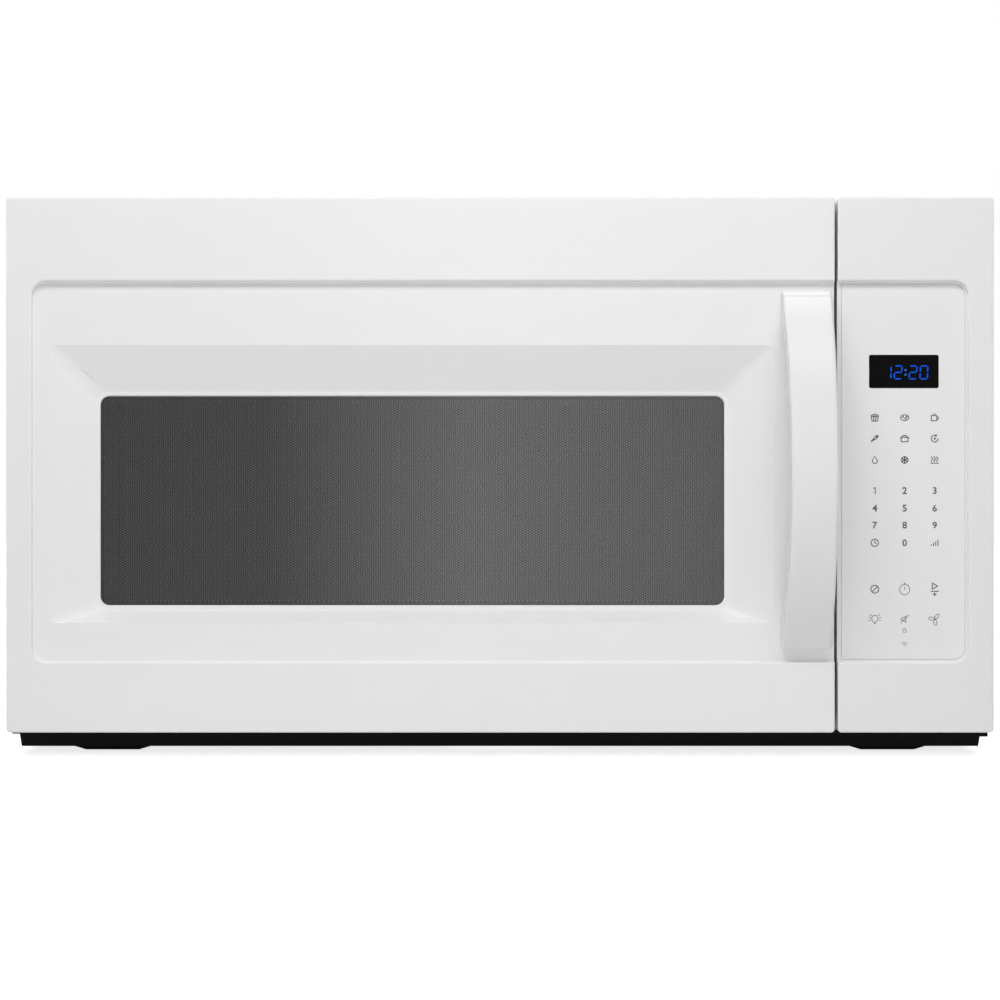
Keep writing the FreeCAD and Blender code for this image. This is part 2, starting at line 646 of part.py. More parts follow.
def door_glazing():
    """Outer glass, perforated screen and inner film, and the pressed frame that holds them."""
    finish("door_glass", plate("glass", grown(WINDOW_X, "glass_overlap"), grown(WINDOW_Z, "glass_overlap"),
                               GLASS_BACK, "glass_thickness", "window_corner"))
    screen_x, screen_z = grown(WINDOW_X, "4"), grown(WINDOW_Z, "4")
    finish("door_screen", plate("screen", screen_x, screen_z, f"{GLASS_BACK} - steel", "steel",
                                "window_corner"))
    film_x = grown(PAN_X, "-choke_cover_sheet - 2*fit_gap")
    film_z = grown(PAN_Z, "-choke_cover_sheet - 2*fit_gap")
    finish("door_film", plate("film", film_x, film_z, f"{GLASS_BACK} - steel - film_thickness",
                              "film_thickness", "cavity_corner"))
    # The frame's sheet goes forward round the cavity mouth, back to the sealing land, and forward as a groove
    body = new_body("door_inner_frame")
    depth = f"({GLASS_BACK} - {COVER_FACE})"
    rings = ["0", "steel", "choke_land", "(choke_land + steel)", "(choke_land + steel + choke_groove)",
             "(choke_land + 2*steel + choke_groove)"]
    edge_x, edge_z = [grown(PAN_X, ring) for ring in rings], [grown(PAN_Z, ring) for ring in rings]
    corners = [f"cavity_corner + {ring}" for ring in rings]
    pad(body, rectangle(sketch_on(body, "XZ", COVER_FACE), edge_x[5], edge_z[5], corners[5]), depth)
    pan = rectangle(sketch_on(body, "XZ", COVER_FACE), edge_x[0], edge_z[0], corners[0])
    pocket(body, pan, f"{depth} - steel", ahead=True)
    groove = rectangle(sketch_on(body, "XZ", COVER_FACE), edge_x[4], edge_z[4], corners[4])
    pocket(body, rectangle(groove, edge_x[3], edge_z[3], corners[3]), f"{depth} - steel", ahead=True)
    hollow = rectangle(sketch_on(body, "XZ", GLASS_BACK), edge_x[2], edge_z[2], corners[2])
    pocket(body, rectangle(hollow, edge_x[1], edge_z[1], corners[1]), f"{depth} - steel")
    pocket(body, rectangle(sketch_on(body, "XZ", GLASS_BACK), screen_x, screen_z, "window_corner"),
           "2*steel")
    finish("door_inner_frame", body)


def countersunk(name, x, z):
    return cone(name, ("screw_radius + choke_cover_sheet", "screw_radius"), "forward",
                (DOOR_BACK, COVER_FACE), (x, z))


def choke_cover():
    """The plastic back of the door. It hides the choke groove, lines the pan, and guides the latch plate."""
    body = new_body("cover")
    sheet_x, sheet_z = grown(DOOR_X, "-moulding_wall - fit_gap"), grown(DOOR_Z, "-moulding_wall - fit_gap")
    pad(body, rectangle(sketch_on(body, "XZ", DOOR_BACK), sheet_x, sheet_z), "choke_cover_sheet")
    skirt_x, skirt_z = grown(PAN_X, "-fit_gap"), grown(PAN_Z, "-fit_gap")
    pad(body, rectangle(sketch_on(body, "XZ", DOOR_BACK), skirt_x, skirt_z, "cavity_corner"), "choke_land")
    inside_x, inside_z = grown(skirt_x, "-choke_cover_sheet"), grown(skirt_z, "-choke_cover_sheet")
    view = rectangle(sketch_on(body, "XZ", DOOR_BACK), inside_x, inside_z,
                     "cavity_corner - choke_cover_sheet")
    pocket(body, view, "choke_land + 1", ahead=True)
    rib_z = (f"({LATCH_HOOKS[0]} + hook_shank + latch_travel + 6)", f"({LATCH_HOOKS[1]} - hook_barb - 8)")
    for name, x in (("left", (f"({LATCH_X[0]} - fit_gap - 1.6)", f"({LATCH_X[0]} - fit_gap)")),
                    ("right", (f"({LATCH_X[1]} + fit_gap)", f"({LATCH_X[1]} + fit_gap + 1.6)"))):
        pad(body, rectangle(sketch_on(body, "XZ", COVER_FACE), x, rib_z), "latch_bar + 1")
    seat_x = (f"({LATCH_MID} - 5)", f"({LATCH_MID} + 5)")
    pad(body, rectangle(sketch_on(body, "XZ", COVER_FACE), seat_x, (SPRING_SEAT, f"({SPRING_SEAT} + 2)")),
        "latch_bar + 1")
    for hook in LATCH_HOOKS:
        slot_z = (f"({hook} - hook_barb - 1)", f"({hook} + hook_shank + latch_travel + 1)")
        slot = rectangle(sketch_on(body, "XZ", DOOR_BACK), grown(LATCH_X, "2*fit_gap"), slot_z)
        pocket(body, slot, "2*choke_cover_sheet", ahead=True)
    notch = block("cover_notch", (f"(-{SIDE})", f"({HINGE_X} + {BUSH_RADIUS} + 2)"),
                  (f"{DOOR_BACK} - 1", f"{COVER_FACE} + 1"),
                  (f"{TOP} - hinge_notch", TOP))
    sinks = [countersunk(f"cover_sink_{number}", x, z) for number, (x, z) in enumerate(COVER_SCREWS)]
    finish("choke_cover", cut("choke_cover", body, notch, *sinks))
    screws = []
    for number, (x, z) in enumerate(COVER_SCREWS):
        shank = rod(f"cover_shank_{number}", "screw_radius", "forward",
                    (COVER_FACE, f"{COVER_FACE} + screw_length"), (x, z))
        screws.append(fuse(f"cover_screw_{number}", countersunk(f"cover_head_{number}", x, z), shank))
    finish("door_screws", group("door_screws", *screws))


def handle():
    """A bowed bar on two feet. Its front, hollow and sides are arcs, and its long edges are rounded."""
    body = new_body("handle")
    low, high = HANDLE_ENDS
    foot_low, foot_high = f"({low} + handle_foot)", f"({high} - handle_foot)"
    tip = f"(-({RECESS} + handle_tip))"
    bow = f"({DOOR_FACE} + handle_reach - {RECESS} - handle_tip)"
    hollow = f"({DOOR_FACE} + handle_reach - handle_middle - {RECESS})"
    bow_radius = f"(({HANDLE_LENGTH}/2)^2 + {bow}^2)/(2*{bow})"
    hollow_radius = f"(({HANDLE_LENGTH}/2 - handle_foot)^2 + {hollow}^2)/(2*{hollow})"
    side_view = outline(sketch_on(body, "YZ", HANDLE_X[0]), [
        (f"(-{RECESS})", low), (f"(-{RECESS})", foot_low), (f"(-{RECESS})", foot_high,
                                                            f"-({hollow_radius})"),
        (f"(-{RECESS})", high), (tip, high), (tip, low, bow_radius)])
    pad(body, side_view, "handle_width")
    waist_radius = f"(({HANDLE_LENGTH}/2)^2 + handle_waist^2)/(2*handle_waist)"
    waist = sketch_on(body, "XZ", f"{DOOR_FACE} + handle_reach + 1")
    outline(waist, [(f"({HANDLE_X[0]} - 4)", low), (HANDLE_X[0], low), (HANDLE_X[0], high, waist_radius),
                    (f"({HANDLE_X[0]} - 4)", high)])
    outline(waist, [(f"({HANDLE_X[1]} + 4)", low), (f"({HANDLE_X[1]} + 4)", high), (HANDLE_X[1], high),
                    (HANDLE_X[1], low, waist_radius)])
    shaped = pocket(body, waist, "handle_reach + recess_depth + 10")
    foot = -mm(RECESS)
    rounded = soften(body, shaped, "handle_round", lambda edge: edge.BoundBox.YMax < foot - 0.5 and
                     (edge.Length > mm(HANDLE_LENGTH)*0.7 or near(edge.BoundBox.YMin,
                                                                  -mm(f"{RECESS} + handle_tip"), 0.1)))
    screws = sketch_on(body, "XZ", RECESS)
    for z in HANDLE_SCREWS:
        circle(screws, HANDLE_MID, z, "screw_radius")
    pocket(body, screws, "screw_length - moulding_wall", ahead=True)
    finish("handle", body)
    inside = f"({RECESS} - moulding_wall)"
    screws = []
    for number, z in enumerate(HANDLE_SCREWS):
        head = rod(f"handle_head_{number}", "screw_head_radius", "forward",
                   (f"{inside} - screw_head", inside), (HANDLE_MID, z))
        shank = rod(f"handle_shank_{number}", "screw_radius", "forward",
                    (inside, f"{inside} + screw_length"), (HANDLE_MID, z))
        screws.append(fuse(f"handle_screw_{number}", head, shank))
    finish("handle_screws", group("handle_screws", *screws))


def hinge_bushes():
    bushes = []
    high_bush = (f"{TOP} - hinge_notch - hinge_bush_length", f"{TOP} - hinge_notch")
    for name, span in (("low", (BOTTOM, f"{BOTTOM} + hinge_bush_length")), ("high", high_bush)):
        ring = rod(f"bush_{name}_ring", BUSH_RADIUS, "z", span, (HINGE_X, HINGE_F))
        bore = rod(f"bush_{name}_bore", "hinge_pin_radius + pin_gap", "z", span, (HINGE_X, HINGE_F))
        bushes.append(cut(f"bush_{name}", ring, bore))
    finish("hinge_bushes", group("hinge_bushes", *bushes))


def latch():
    """A sliding plate with two hooks that reach through the cabinet's front, and the spring on it."""
    bar = block("latch_bar_plate", LATCH_X, LATCH_BAR, (f"{LATCH_HOOKS[0]} - hook_barb", LATCH_TOP))
    tip = f"({DOOR_BACK} - latch_reach)"
    hooks = []
    for number, hook in enumerate(LATCH_HOOKS):
        corners = [(f"(-{LATCH_BAR[0]} - 1)", hook), (f"(-{tip} - 8)", hook),
                   (f"(-{tip} - 7)", f"({hook} - hook_barb)"),
                   (f"(-{tip} - 4)", f"({hook} - hook_barb)"), (f"(-{tip})", f"({hook} + 3)"),
                   (f"(-{tip})", f"({hook} + hook_shank)"), (f"(-{LATCH_BAR[0]} - 1)",
                                                             f"({hook} + hook_shank)")]
        hooks.append(prism(f"hook_{number}", "YZ", LATCH_X[0], "latch_plate", corners))
    finish("latch_hooks", fuse("latch_hooks", bar, *hooks))
    coil = doc.addObject("Part::Helix", "spring_coil")
    bind(coil, Pitch="(spring_length - 2*spring_wire)/6", Height="spring_length - 2*spring_wire",
         Radius="spring_radius")
    wire = doc.addObject("Part::Circle", "spring_section")
    bind(wire, Radius="spring_wire")
    place(wire, "spring_radius", "0", "0", turn=((1, 0, 0), 90))
    spring = doc.addObject("Part::Sweep", "latch_spring")
    spring.Sections = [wire]
    spring.Spine = (coil, ["Edge1"])
    spring.Solid = True
    spring.Frenet = True
    place(spring, LATCH_MID, f"-({LATCH_BAR[0]} + latch_bar/2)", f"{LATCH_TOP} + spring_wire")
    finish("latch_spring", spring)


# ----------------------------------------------------------------------------------------------------------
# Control panel
# ----------------------------------------------------------------------------------------------------------
PANEL_X = (PANEL_LEFT, SIDE)
OVERLAY_INSET = "(recess_round + overlay_margin)"
OVERLAY_X = (f"({PANEL_LEFT} + overlay_left)", f"({SIDE} - recess_side - {OVERLAY_INSET})")
OVERLAY_Z = (f"({RECESS_LOW} + {OVERLAY_INSET})", f"({RECESS_HIGH} - {OVERLAY_INSET})")
OVERLAY_BACK = f"({RECESS} - overlay_thickness)"
DISPLAY_X = (f"({SIDE} - display_right - display_width)", f"({SIDE} - display_right)")
DISPLAY_Z = (f"({TOP} - display_drop - display_height)", f"({TOP} - display_drop)")
BOARD_MID = f"({SIDE} - panel_width/2)"
BOARD_X = (f"({BOARD_MID} - board_width/2)", f"({BOARD_MID} + board_width/2)")
BOARD_Z = (f"({TOP} - recess_top - board_height)", f"({TOP} - recess_top)")
BOARD_BACK = f"({DOOR_BACK} + 12)"
BOARD_FACE = f"({BOARD_BACK} + board_thickness)"


def overlay_outline(sketch, gap="0"):
    """The overlay is square at its left and follows the sunken panel's round corners at its right."""
    (left, right), (low, high) = grown(OVERLAY_X, gap), grown(OVERLAY_Z, gap)
    turn = f"(recess_corner - {OVERLAY_INSET} + {gap})"
    return outline(sketch, [(left, low), (f"({right} - {turn})", low), (right, f"({low} + {turn})", turn),
                            (right, f"({high} - {turn})"), (f"({right} - {turn})", high, turn),
                            (left, high)])


def control_panel():
    """The moulded bezel right of the door, the overlay in its sunken floor, and the parts behind it."""
    body = new_body("control_bezel")
    pad(body, rectangle(sketch_on(body, "XZ", "cabinet_depth"), PANEL_X, DOOR_Z, "moulding_corner"),
        f"{DOOR_FACE} - cabinet_depth")
    hollow = rectangle(sketch_on(body, "XZ", "cabinet_depth"), grown(PANEL_X, "-moulding_wall"),
                       grown(DOOR_Z, "-moulding_wall"))
    pocket(body, hollow, f"{DOOR_FACE} - cabinet_depth - moulding_wall", ahead=True)
    floor_x = (f"({PANEL_LEFT} + moulding_wall/2)", f"({SIDE} - recess_side + moulding_wall)")
    floor_z = (f"({RECESS_LOW} - moulding_wall)", f"({RECESS_HIGH} + moulding_wall)")
    floor_back = f"({OVERLAY_BACK} - moulding_wall)"
    pad(body, rectangle(sketch_on(body, "XZ", floor_back), floor_x, floor_z),
        f"{DOOR_FACE} - {floor_back} - moulding_wall/2")
    posts = sketch_on(body, "XZ", BOARD_FACE)
    for x in (f"({BOARD_X[0]} + 6)", f"({BOARD_X[1]} - 6)"):
        for z in (f"({BOARD_Z[0]} + 6)", f"({BOARD_Z[1]} - 6)"):
            circle(posts, x, z, "boss_radius")
    pad(body, posts, f"{floor_back} - {BOARD_FACE} + moulding_wall/2")
    sunken_panel(body, (f"({PANEL_LEFT} - panel_width)", f"({SIDE} - recess_side)"), PANEL_LEFT)
    pocket(body, overlay_outline(sketch_on(body, "XZ", RECESS), "fit_gap"), "overlay_thickness")
    window = rectangle(sketch_on(body, "XZ", RECESS), DISPLAY_X, DISPLAY_Z, "display_corner")
    pocket(body, window, "overlay_thickness + moulding_wall + 1")
    finish("control_bezel", body)
    overlay = new_body("overlay")
    pad(overlay, overlay_outline(sketch_on(overlay, "XZ", OVERLAY_BACK)), "overlay_thickness")
    pocket(overlay, rectangle(sketch_on(overlay, "XZ", RECESS), DISPLAY_X, DISPLAY_Z, "display_corner"),
           "2*overlay_thickness")
    finish("keypad_overlay", overlay)
    display_back = f"({RECESS} - display_glass)"
    finish("display_window", plate("display_glass_plate", DISPLAY_X, DISPLAY_Z, display_back,
                                   "display_glass", "display_corner"))
    module_x, module_z = grown(DISPLAY_X, "-1.5"), grown(DISPLAY_Z, "-1.5")
    finish("display_module", block("module", module_x, (BOARD_FACE, display_back), module_z))
    board = block("board", BOARD_X, (BOARD_BACK, BOARD_FACE), BOARD_Z)
    parts = []
    for number, (x, z, width, height, depth) in enumerate((("-30", "30", "18", "15", "11"),
                                                           ("-8", "30", "18", "15", "11"),
                                                           ("14", "28", "30", "34", "9"),
                                                           ("-30", "80", "40", "26", "8"))):
        spot_x, spot_z = f"({BOARD_MID} + {x})", f"({BOARD_Z[0]} + {z})"
        parts.append(block(f"board_part_{number}", (spot_x, f"({spot_x} + {width})"),
                           (f"({BOARD_BACK} - {depth})", BOARD_BACK),
                           (spot_z, f"({spot_z} + {height})")))
    finish("control_board", fuse("control_board", board, *parts))


# ----------------------------------------------------------------------------------------------------------
# Cabinet
# ----------------------------------------------------------------------------------------------------------
INNER = f"({COVER} - steel)"                                    # cover's inner side
ROOF = f"({TOP} - steel)"                                       # underside of the cover's top
INNER_X = (f"(-{INNER})", INNER)
DISH = f"({CAVITY_Z[0]} - floor_dish_depth)"                    # dished floor that the rollers run on
CAVITY_SIDE = f"({CAVITY_X[1]} + steel)"                        # cavity's outer face in the component bay
CAVITY_ROOF = f"({CAVITY_Z[1]} + steel)"
TABLE_X = f"(({CAVITY_X[0]} + {CAVITY_X[1]})/2)"
DISH_RADIUS = f"({TRAY_RADIUS} + floor_dish_margin)"
LIP_TOP = f"({PLATE_BACK} - fit_gap)"                           # base lip at the front plate, forward
LIP_LOW = f"({LIP_TOP} - lip_slope)"
BASE_TOP = f"({BASE} + steel)"
FILTER_X = {"left": (f"(-{INNER} + filter_side)", "(-lens_width/2 - filter_lens_gap)"),
            "right": ("(lens_width/2 + filter_lens_gap)", f"({INNER} - filter_side)")}
FILTER_F = ("filter_rear", "(cabinet_depth - filter_front)")
FILTER_Z = (f"({BASE_TOP} + fit_gap)", f"({BASE_TOP} + fit_gap + filter_thickness)")
LENS_F = ("(cabinet_depth - lens_front - lens_length)", "(cabinet_depth - lens_front)")
LENS_X = ("(-lens_width/2)", "(lens_width/2)")
GRILLE_X = ("(-grille_width/2)", "(grille_width/2)")
GRILLE_F = ("(cabinet_depth - grille_front - grille_length)", "(cabinet_depth - grille_front)")
CORD_X, CORD_F = f"({COVER} - 70)", "60"
MOUNT_X = ("(-mount_spacing/2)", "(mount_spacing/2)")
BAY_X = f"({SIDE} - fan_side)"                                  # fan axis
BAY_Z = f"({CAVITY_Z[0]} + fan_rise)"                           # fan and magnetron axis
GUIDE_F = (f"({PLATE_BACK} - 32)", PLATE_BACK)                  # latch board
SIDE_SCREWS = [(side, f) for side in (-1, 1) for f in ("60", "300")]
SIDE_SCREW_Z = f"({BOTTOM} + 6)"


def flat(span):
    """A forward span as a y span, for sketches that lie flat."""
    return (f"(-({span[1]}))", f"(-({span[0]}))")


def side_screw(name, side, f, head_only):
    outer, inner = (f"{side}*{COVER}", f"{side}*{INNER}")
    radii = ("screw_radius + steel", "screw_radius")
    if side > 0:
        head = cone(f"{name}_head", radii[::-1], "x", (inner, outer), (f, SIDE_SCREW_Z))
        shank_span = (f"{inner} - 5", inner)
    else:
        head = cone(f"{name}_head", radii, "x", (outer, inner), (f, SIDE_SCREW_Z))
        shank_span = (inner, f"{inner} + 5")
    if head_only:
        return head
    return fuse(name, head, rod(f"{name}_shank", "screw_radius", "x", shank_span, (f, SIDE_SCREW_Z)))


def cabinet_wrap():
    """The folded sheet over the top and both sides."""
    body = new_body("wrap")
    folded = outline(sketch_on(body, "XZ"), [
        (f"(-{COVER})", BOTTOM), (f"(-{COVER})", f"({TOP} - bend)"), (f"(-{COVER} + bend)", TOP, "-bend"),
        (f"({COVER} - bend)", TOP), (COVER, f"({TOP} - bend)", "-bend"), (COVER, BOTTOM), (INNER, BOTTOM),
        (INNER, f"({TOP} - bend)"), (f"({COVER} - bend)", ROOF, "bend - steel"),
        (f"(-{COVER} + bend)", ROOF),
        (f"(-{INNER})", f"({TOP} - bend)", "bend - steel"), (f"(-{INNER})", BOTTOM)])
    pad(body, folded, "cabinet_depth")
    openings = rectangle(sketch_on(body, "XY", TOP), GRILLE_X, flat(GRILLE_F))
    circle(openings, CORD_X, f"-{CORD_F}", "cord_hole_radius")
    for x in MOUNT_X:
        circle(openings, x, "-mount_rear", "mount_collar_radius")
    pocket(body, openings, "2*steel")
    sinks = [side_screw(f"wrap_sink_{number}", side, f, True) for number,
             (side, f) in enumerate(SIDE_SCREWS)]
    finish("cabinet_wrap", cut("cabinet_wrap", body, *sinks))
    finish("cabinet_screws", group("cabinet_screws", *[side_screw(f"side_screw_{number}", side, f, False)
                                                       for number, (side, f) in enumerate(SIDE_SCREWS)]))


def rear_panel():
    body = plate("rear", INNER_X, (BASE, ROOF), "0", "steel", "bend - steel")
    slots = sketch_on(body, "XZ", "steel")
    for x in ("-hook_slot_spacing/2", "hook_slot_spacing/2"):
        rectangle(slots, (f"({x} - hook_slot_width/2)", f"({x} + hook_slot_width/2)"),
                  ("-hook_slot_height/2", "hook_slot_height/2"))
    pocket(body, slots, "2*steel")
    finish("rear_panel", body)


def front_plate():
    """The sheet behind the door: cavity mouth, latch slots, control opening and two hinge notches."""
    body = plate("front", INNER_X, (BOTTOM, ROOF), PLATE_BACK, "steel", "bend - steel")
    openings = rectangle(sketch_on(body, "XZ", "cabinet_depth"), CAVITY_X, CAVITY_Z, "cavity_corner")
    for hook in LATCH_HOOKS:
        slot_z = (f"({hook} - hook_barb - 1)", f"({hook} + hook_shank + latch_travel + 1)")
        rectangle(openings, (f"({LATCH_X[0]} - 0.8)", f"({LATCH_X[1]} + 1.8)"), slot_z)
    rectangle(openings, grown(BOARD_X, "-2"), grown(BOARD_Z, "-4"), "bend")
    pocket(body, openings, "2*steel")
    notch = block("front_notch", LEAF_X, (f"{PLATE_BACK} - 1", "cabinet_depth + 1"), (HIGH_LEAF[0], ROOF))
    finish("front_plate", cut("front_plate", body, notch))


FILTER_HOLE_F = grown(FILTER_F, "-filter_ledge")
FILTER_RAIL_F = ("(filter_rear - filter_travel)", FILTER_F[1])
LEAF_X = (f"({HINGE_X} - hinge_leaf_half - fit_gap)", f"({HINGE_X} + hinge_leaf_half + fit_gap)")
HIGH_LEAF = (f"({TOP} - hinge_notch + 1)", f"({TOP} - hinge_notch + 1 + hinge_leaf)")
LOW_LEAF = (f"({BOTTOM} - 1 - hinge_leaf)", f"({BOTTOM} - 1)")
EAR_F = ("cabinet_depth",
         f"({HINGE_F} + hinge_leaf_half)")      # black ears that show under the door and the panel


def base_plate():
    """The black underside: floor, sloped front lip and side flanges, open under the filters and the lamp."""
    body = new_body("base_plate")
    lip_cut = "(steel*1.25)"
    profile = outline(sketch_on(body, "YZ", f"-{COVER}"), [
        ("(-steel)", BASE), (f"(-{LIP_LOW})", BASE), (f"(-{LIP_TOP})", BOTTOM),
        (f"(-{LIP_TOP} + {lip_cut})", BOTTOM),
        (f"(-{LIP_LOW} + {lip_cut})", BASE_TOP), ("(-steel)", BASE_TOP)])
    pad(body, profile, f"2*{COVER}")
    for name, x in (("left", (f"(-{INNER})", f"(-{INNER} + steel)")),
                    ("right", (f"({INNER} - steel)", INNER))):
        flange = outline(sketch_on(body, "YZ", x[0]), [
            ("(-steel)", BASE), (f"(-{LIP_LOW})", BASE), (f"(-{LIP_TOP})", BOTTOM),
            (f"(-{LIP_TOP})", f"({BOTTOM} + 14)"),
            ("(-steel)", f"({BOTTOM} + 14)")])
        pad(body, flange, "steel")
    ear = rectangle(sketch_on(body, "XY", LOW_LEAF[0]), (f"({SIDE} - hinge_side)", f"({SIDE} - fit_gap)"),
                    flat((f"{LIP_TOP} - steel", EAR_F[1])))
    pad(body, ear, "hinge_leaf")
    drop = rectangle(sketch_on(body, "XY", f"{LOW_LEAF[0]} - ear_drop"),
                     (f"({SIDE} - hinge_side)", f"({SIDE} - fit_gap)"),
                     flat((f"{EAR_F[1]} - hinge_leaf", EAR_F[1])))
    pad(body, drop, "ear_drop + hinge_leaf")
    holes = sketch_on(body, "XY", BASE_TOP)
    for side in FILTER_X.values():
        rectangle(holes, grown(side, "-filter_ledge"), flat(FILTER_HOLE_F))
    rectangle(holes, grown(LENS_X, "-3"), flat(grown(LENS_F, "-3")))
    pocket(body, holes, "2*steel")
    for side in FILTER_X.values():
        for x in ((f"({side[0]} - fit_gap - steel)", f"({side[0]} - fit_gap)"),
                  (f"({side[1]} + fit_gap)", f"({side[1]} + fit_gap + steel)")):
            rail = rectangle(sketch_on(body, "XY", BASE_TOP), x, flat(FILTER_RAIL_F))
            pad(body, rail, "filter_thickness + 2*fit_gap")
        for x in ((f"({side[0]} - fit_gap - steel)", f"({side[0]} + 3)"),
                  (f"({side[1]} - 3)", f"({side[1]} + fit_gap + steel)")):
            cap = rectangle(sketch_on(body, "XY", f"{BASE_TOP} + filter_thickness + 2*fit_gap"), x,
                            flat(FILTER_RAIL_F))
            pad(body, cap, "steel")
    notch = block("lip_notch", LEAF_X, (f"{LIP_LOW} - 4", "cabinet_depth"),
                  (f"{LOW_LEAF[0]} - fit_gap", f"{BOTTOM} + 1"))
    screw_holes = [rod(f"base_screw_hole_{number}", "screw_radius", "x",
                       (f"{side}*{INNER} - 6", f"{side}*{INNER} + 6"), (f, SIDE_SCREW_Z))
                   for number, (side, f) in enumerate(SIDE_SCREWS)]
    finish("base_plate", cut("base_plate", body, notch, *screw_holes))
    pads = []
    pad_f = f"({LIP_LOW} - pad_front)"
    for number, left in enumerate((f"(-{INNER} + pad_side)", f"({INNER} - pad_side - pad_width)")):
        corners = [(left, BASE), (f"({left} + pad_slope)", f"({BASE} - pad_height)"),
                   (f"({left} + pad_width - pad_slope)", f"({BASE} - pad_height)"),
                   (f"({left} + pad_width)", BASE)]
        pads.append(prism(f"pad_{number}", "XZ", f"{pad_f} - pad_length", "pad_length", corners))
    finish("base_pads", group("base_pads", *pads))


def hinges():
    """Each hinge is a leaf on a flange behind the front plate, with a pin that stands in the door's bush."""
    leaf_x = (f"({HINGE_X} - hinge_leaf_half)", f"({HINGE_X} + hinge_leaf_half)")
    flange_f = (f"({PLATE_BACK} - hinge_leaf)", PLATE_BACK)
    high_pin = (f"{HIGH_LEAF[0]} - hinge_pin_length", HIGH_LEAF[0])
    low_pin = (LOW_LEAF[1], f"{LOW_LEAF[1]} + hinge_pin_length")
    settings = {"hinge_upper": (HIGH_LEAF, high_pin, (f"({TOP} - 40)", HIGH_LEAF[1]),
                                (f"({TOP} - 40)", f"{ROOF} - 1")),
                "hinge_lower": (LOW_LEAF, low_pin, (LOW_LEAF[0], f"({BOTTOM} + 30)"),
                                (f"({BOTTOM} + 1)", f"({BOTTOM} + 30)"))}
    for label, (leaf, pin, neck, flange) in settings.items():
        tongue = block(f"{label}_leaf", leaf_x, (flange_f[0], f"{HINGE_F} + hinge_leaf_half"), leaf)
        upright = block(f"{label}_neck", leaf_x, flange_f, neck)
        back = block(f"{label}_flange", (leaf_x[0], f"({leaf_x[1]} + 12)"), flange_f, flange)
        stud = rod(f"{label}_pin", "hinge_pin_radius", "z", pin, (HINGE_X, HINGE_F))
        pieces = [tongue, upright, back, stud]
        if label == "hinge_lower":
            pieces.append(block("hinge_lower_ear", (f"(-{SIDE} + fit_gap)", HINGE_X), EAR_F, leaf))
        finish(label, fuse(label, *pieces))


def oven_cavity():
    """The enamelled box with its dished floor, lamp grid, waveguide opening and shaft hole."""
    body = new_body("oven_cavity")
    depth = f"({PLATE_BACK} - {CAVITY_BACK} + steel)"
    outside = rectangle(sketch_on(body, "XZ", f"{CAVITY_BACK} - steel"), grown(CAVITY_X, "steel"),
                        grown(CAVITY_Z, "steel"),
                        "cavity_corner + steel")
    pad(body, outside, depth)
    pad(body, circle(sketch_on(body, "XY", f"{DISH} - steel"), TABLE_X, f"-{TABLE_F}",
                     f"{DISH_RADIUS} + steel"), "floor_dish_depth")
    inside = rectangle(sketch_on(body, "XZ", PLATE_BACK), CAVITY_X, CAVITY_Z, "cavity_corner")
    pocket(body, inside, f"{depth} - steel")
    pocket(body, circle(sketch_on(body, "XY", f"{CAVITY_Z[0]} + 1"), TABLE_X, f"-{TABLE_F}", DISH_RADIUS),
           "floor_dish_depth + 1")
    pocket(body, circle(sketch_on(body, "XY", DISH), TABLE_X, f"-{TABLE_F}",
                        "motor_shaft_radius + 2*fit_gap"), "2*steel")
    side = sketch_on(body, "YZ", f"{CAVITY_SIDE} + 1")
    rectangle(side, flat(WAVE_MOUTH_F), WAVE_MOUTH_Z)
    pocket(body, side, "2*steel + 1")
    grid = sketch_on(body, "YZ", f"{CAVITY_SIDE} + 1")
    circle(grid, f"(-{LAMP_F[0]} - 8)", f"({LAMP_Z[0]} + 8)", "lamp_hole_radius")
    row = pocket(body, grid, "2*steel + 1")
    pattern = body.newObject("PartDesign::MultiTransform", "lamp_grid")
    pattern.Originals = [row]
    steps = []
    for name, direction, span in (("lamp_grid_rows", "V_Axis", f"{LAMP_Z[1]} - {LAMP_Z[0]} - 16"),
                                  ("lamp_grid_columns", "H_Axis", f"{LAMP_F[1]} - {LAMP_F[0]} - 16")):
        step = body.newObject("PartDesign::LinearPattern", name)
        step.Direction = (grid, [direction])
        step.Reversed = direction == "H_Axis"
        step.Occurrences = 4
        bind(step, Length=span)
        steps.append(step)
    pattern.Transformations = steps
    body.Tip = pattern
    finish("oven_cavity", body)
    cover_f, cover_z = grown(WAVE_MOUTH_F, "8"), grown(WAVE_MOUTH_Z, "8")
    finish("waveguide_cover", block("mica", (f"({CAVITY_X[1]} - film_thickness)", CAVITY_X[1]), cover_f,
                                    cover_z))


WAVE_F = (f"({TABLE_F} - waveguide_width/2)", f"({TABLE_F} + waveguide_width/2)")
WAVE_Z = (f"({BAY_Z} - waveguide_height/2)", f"({BAY_Z} + waveguide_height/2)")
WAVE_MOUTH_F = grown(WAVE_F, "-8")
WAVE_MOUTH_Z = (f"({WAVE_Z[0]} + 8)", f"({WAVE_Z[0]} + 52)")
WAVE_X = (CAVITY_SIDE, f"({CAVITY_SIDE} + waveguide_reach)")
LAMP_F = ("(cabinet_depth - lamp_front - lamp_length)", "(cabinet_depth - lamp_front)")
LAMP_Z = (f"({CAVITY_Z[1]} - 58)", f"({CAVITY_Z[1]} - 18)")
MAGNETRON_X = (WAVE_X[1], f"({WAVE_X[1]} + magnetron_reach)")
MAGNETRON_F = (f"({TABLE_F} - magnetron_width/2)", f"({TABLE_F} + magnetron_width/2)")
MAGNETRON_Z = (f"({BAY_Z} - magnetron_height/2)", f"({BAY_Z} + magnetron_height/2)")
SHELF_Z = ("(shelf_rise - tab_height)", "(shelf_rise - tab_height + steel)")


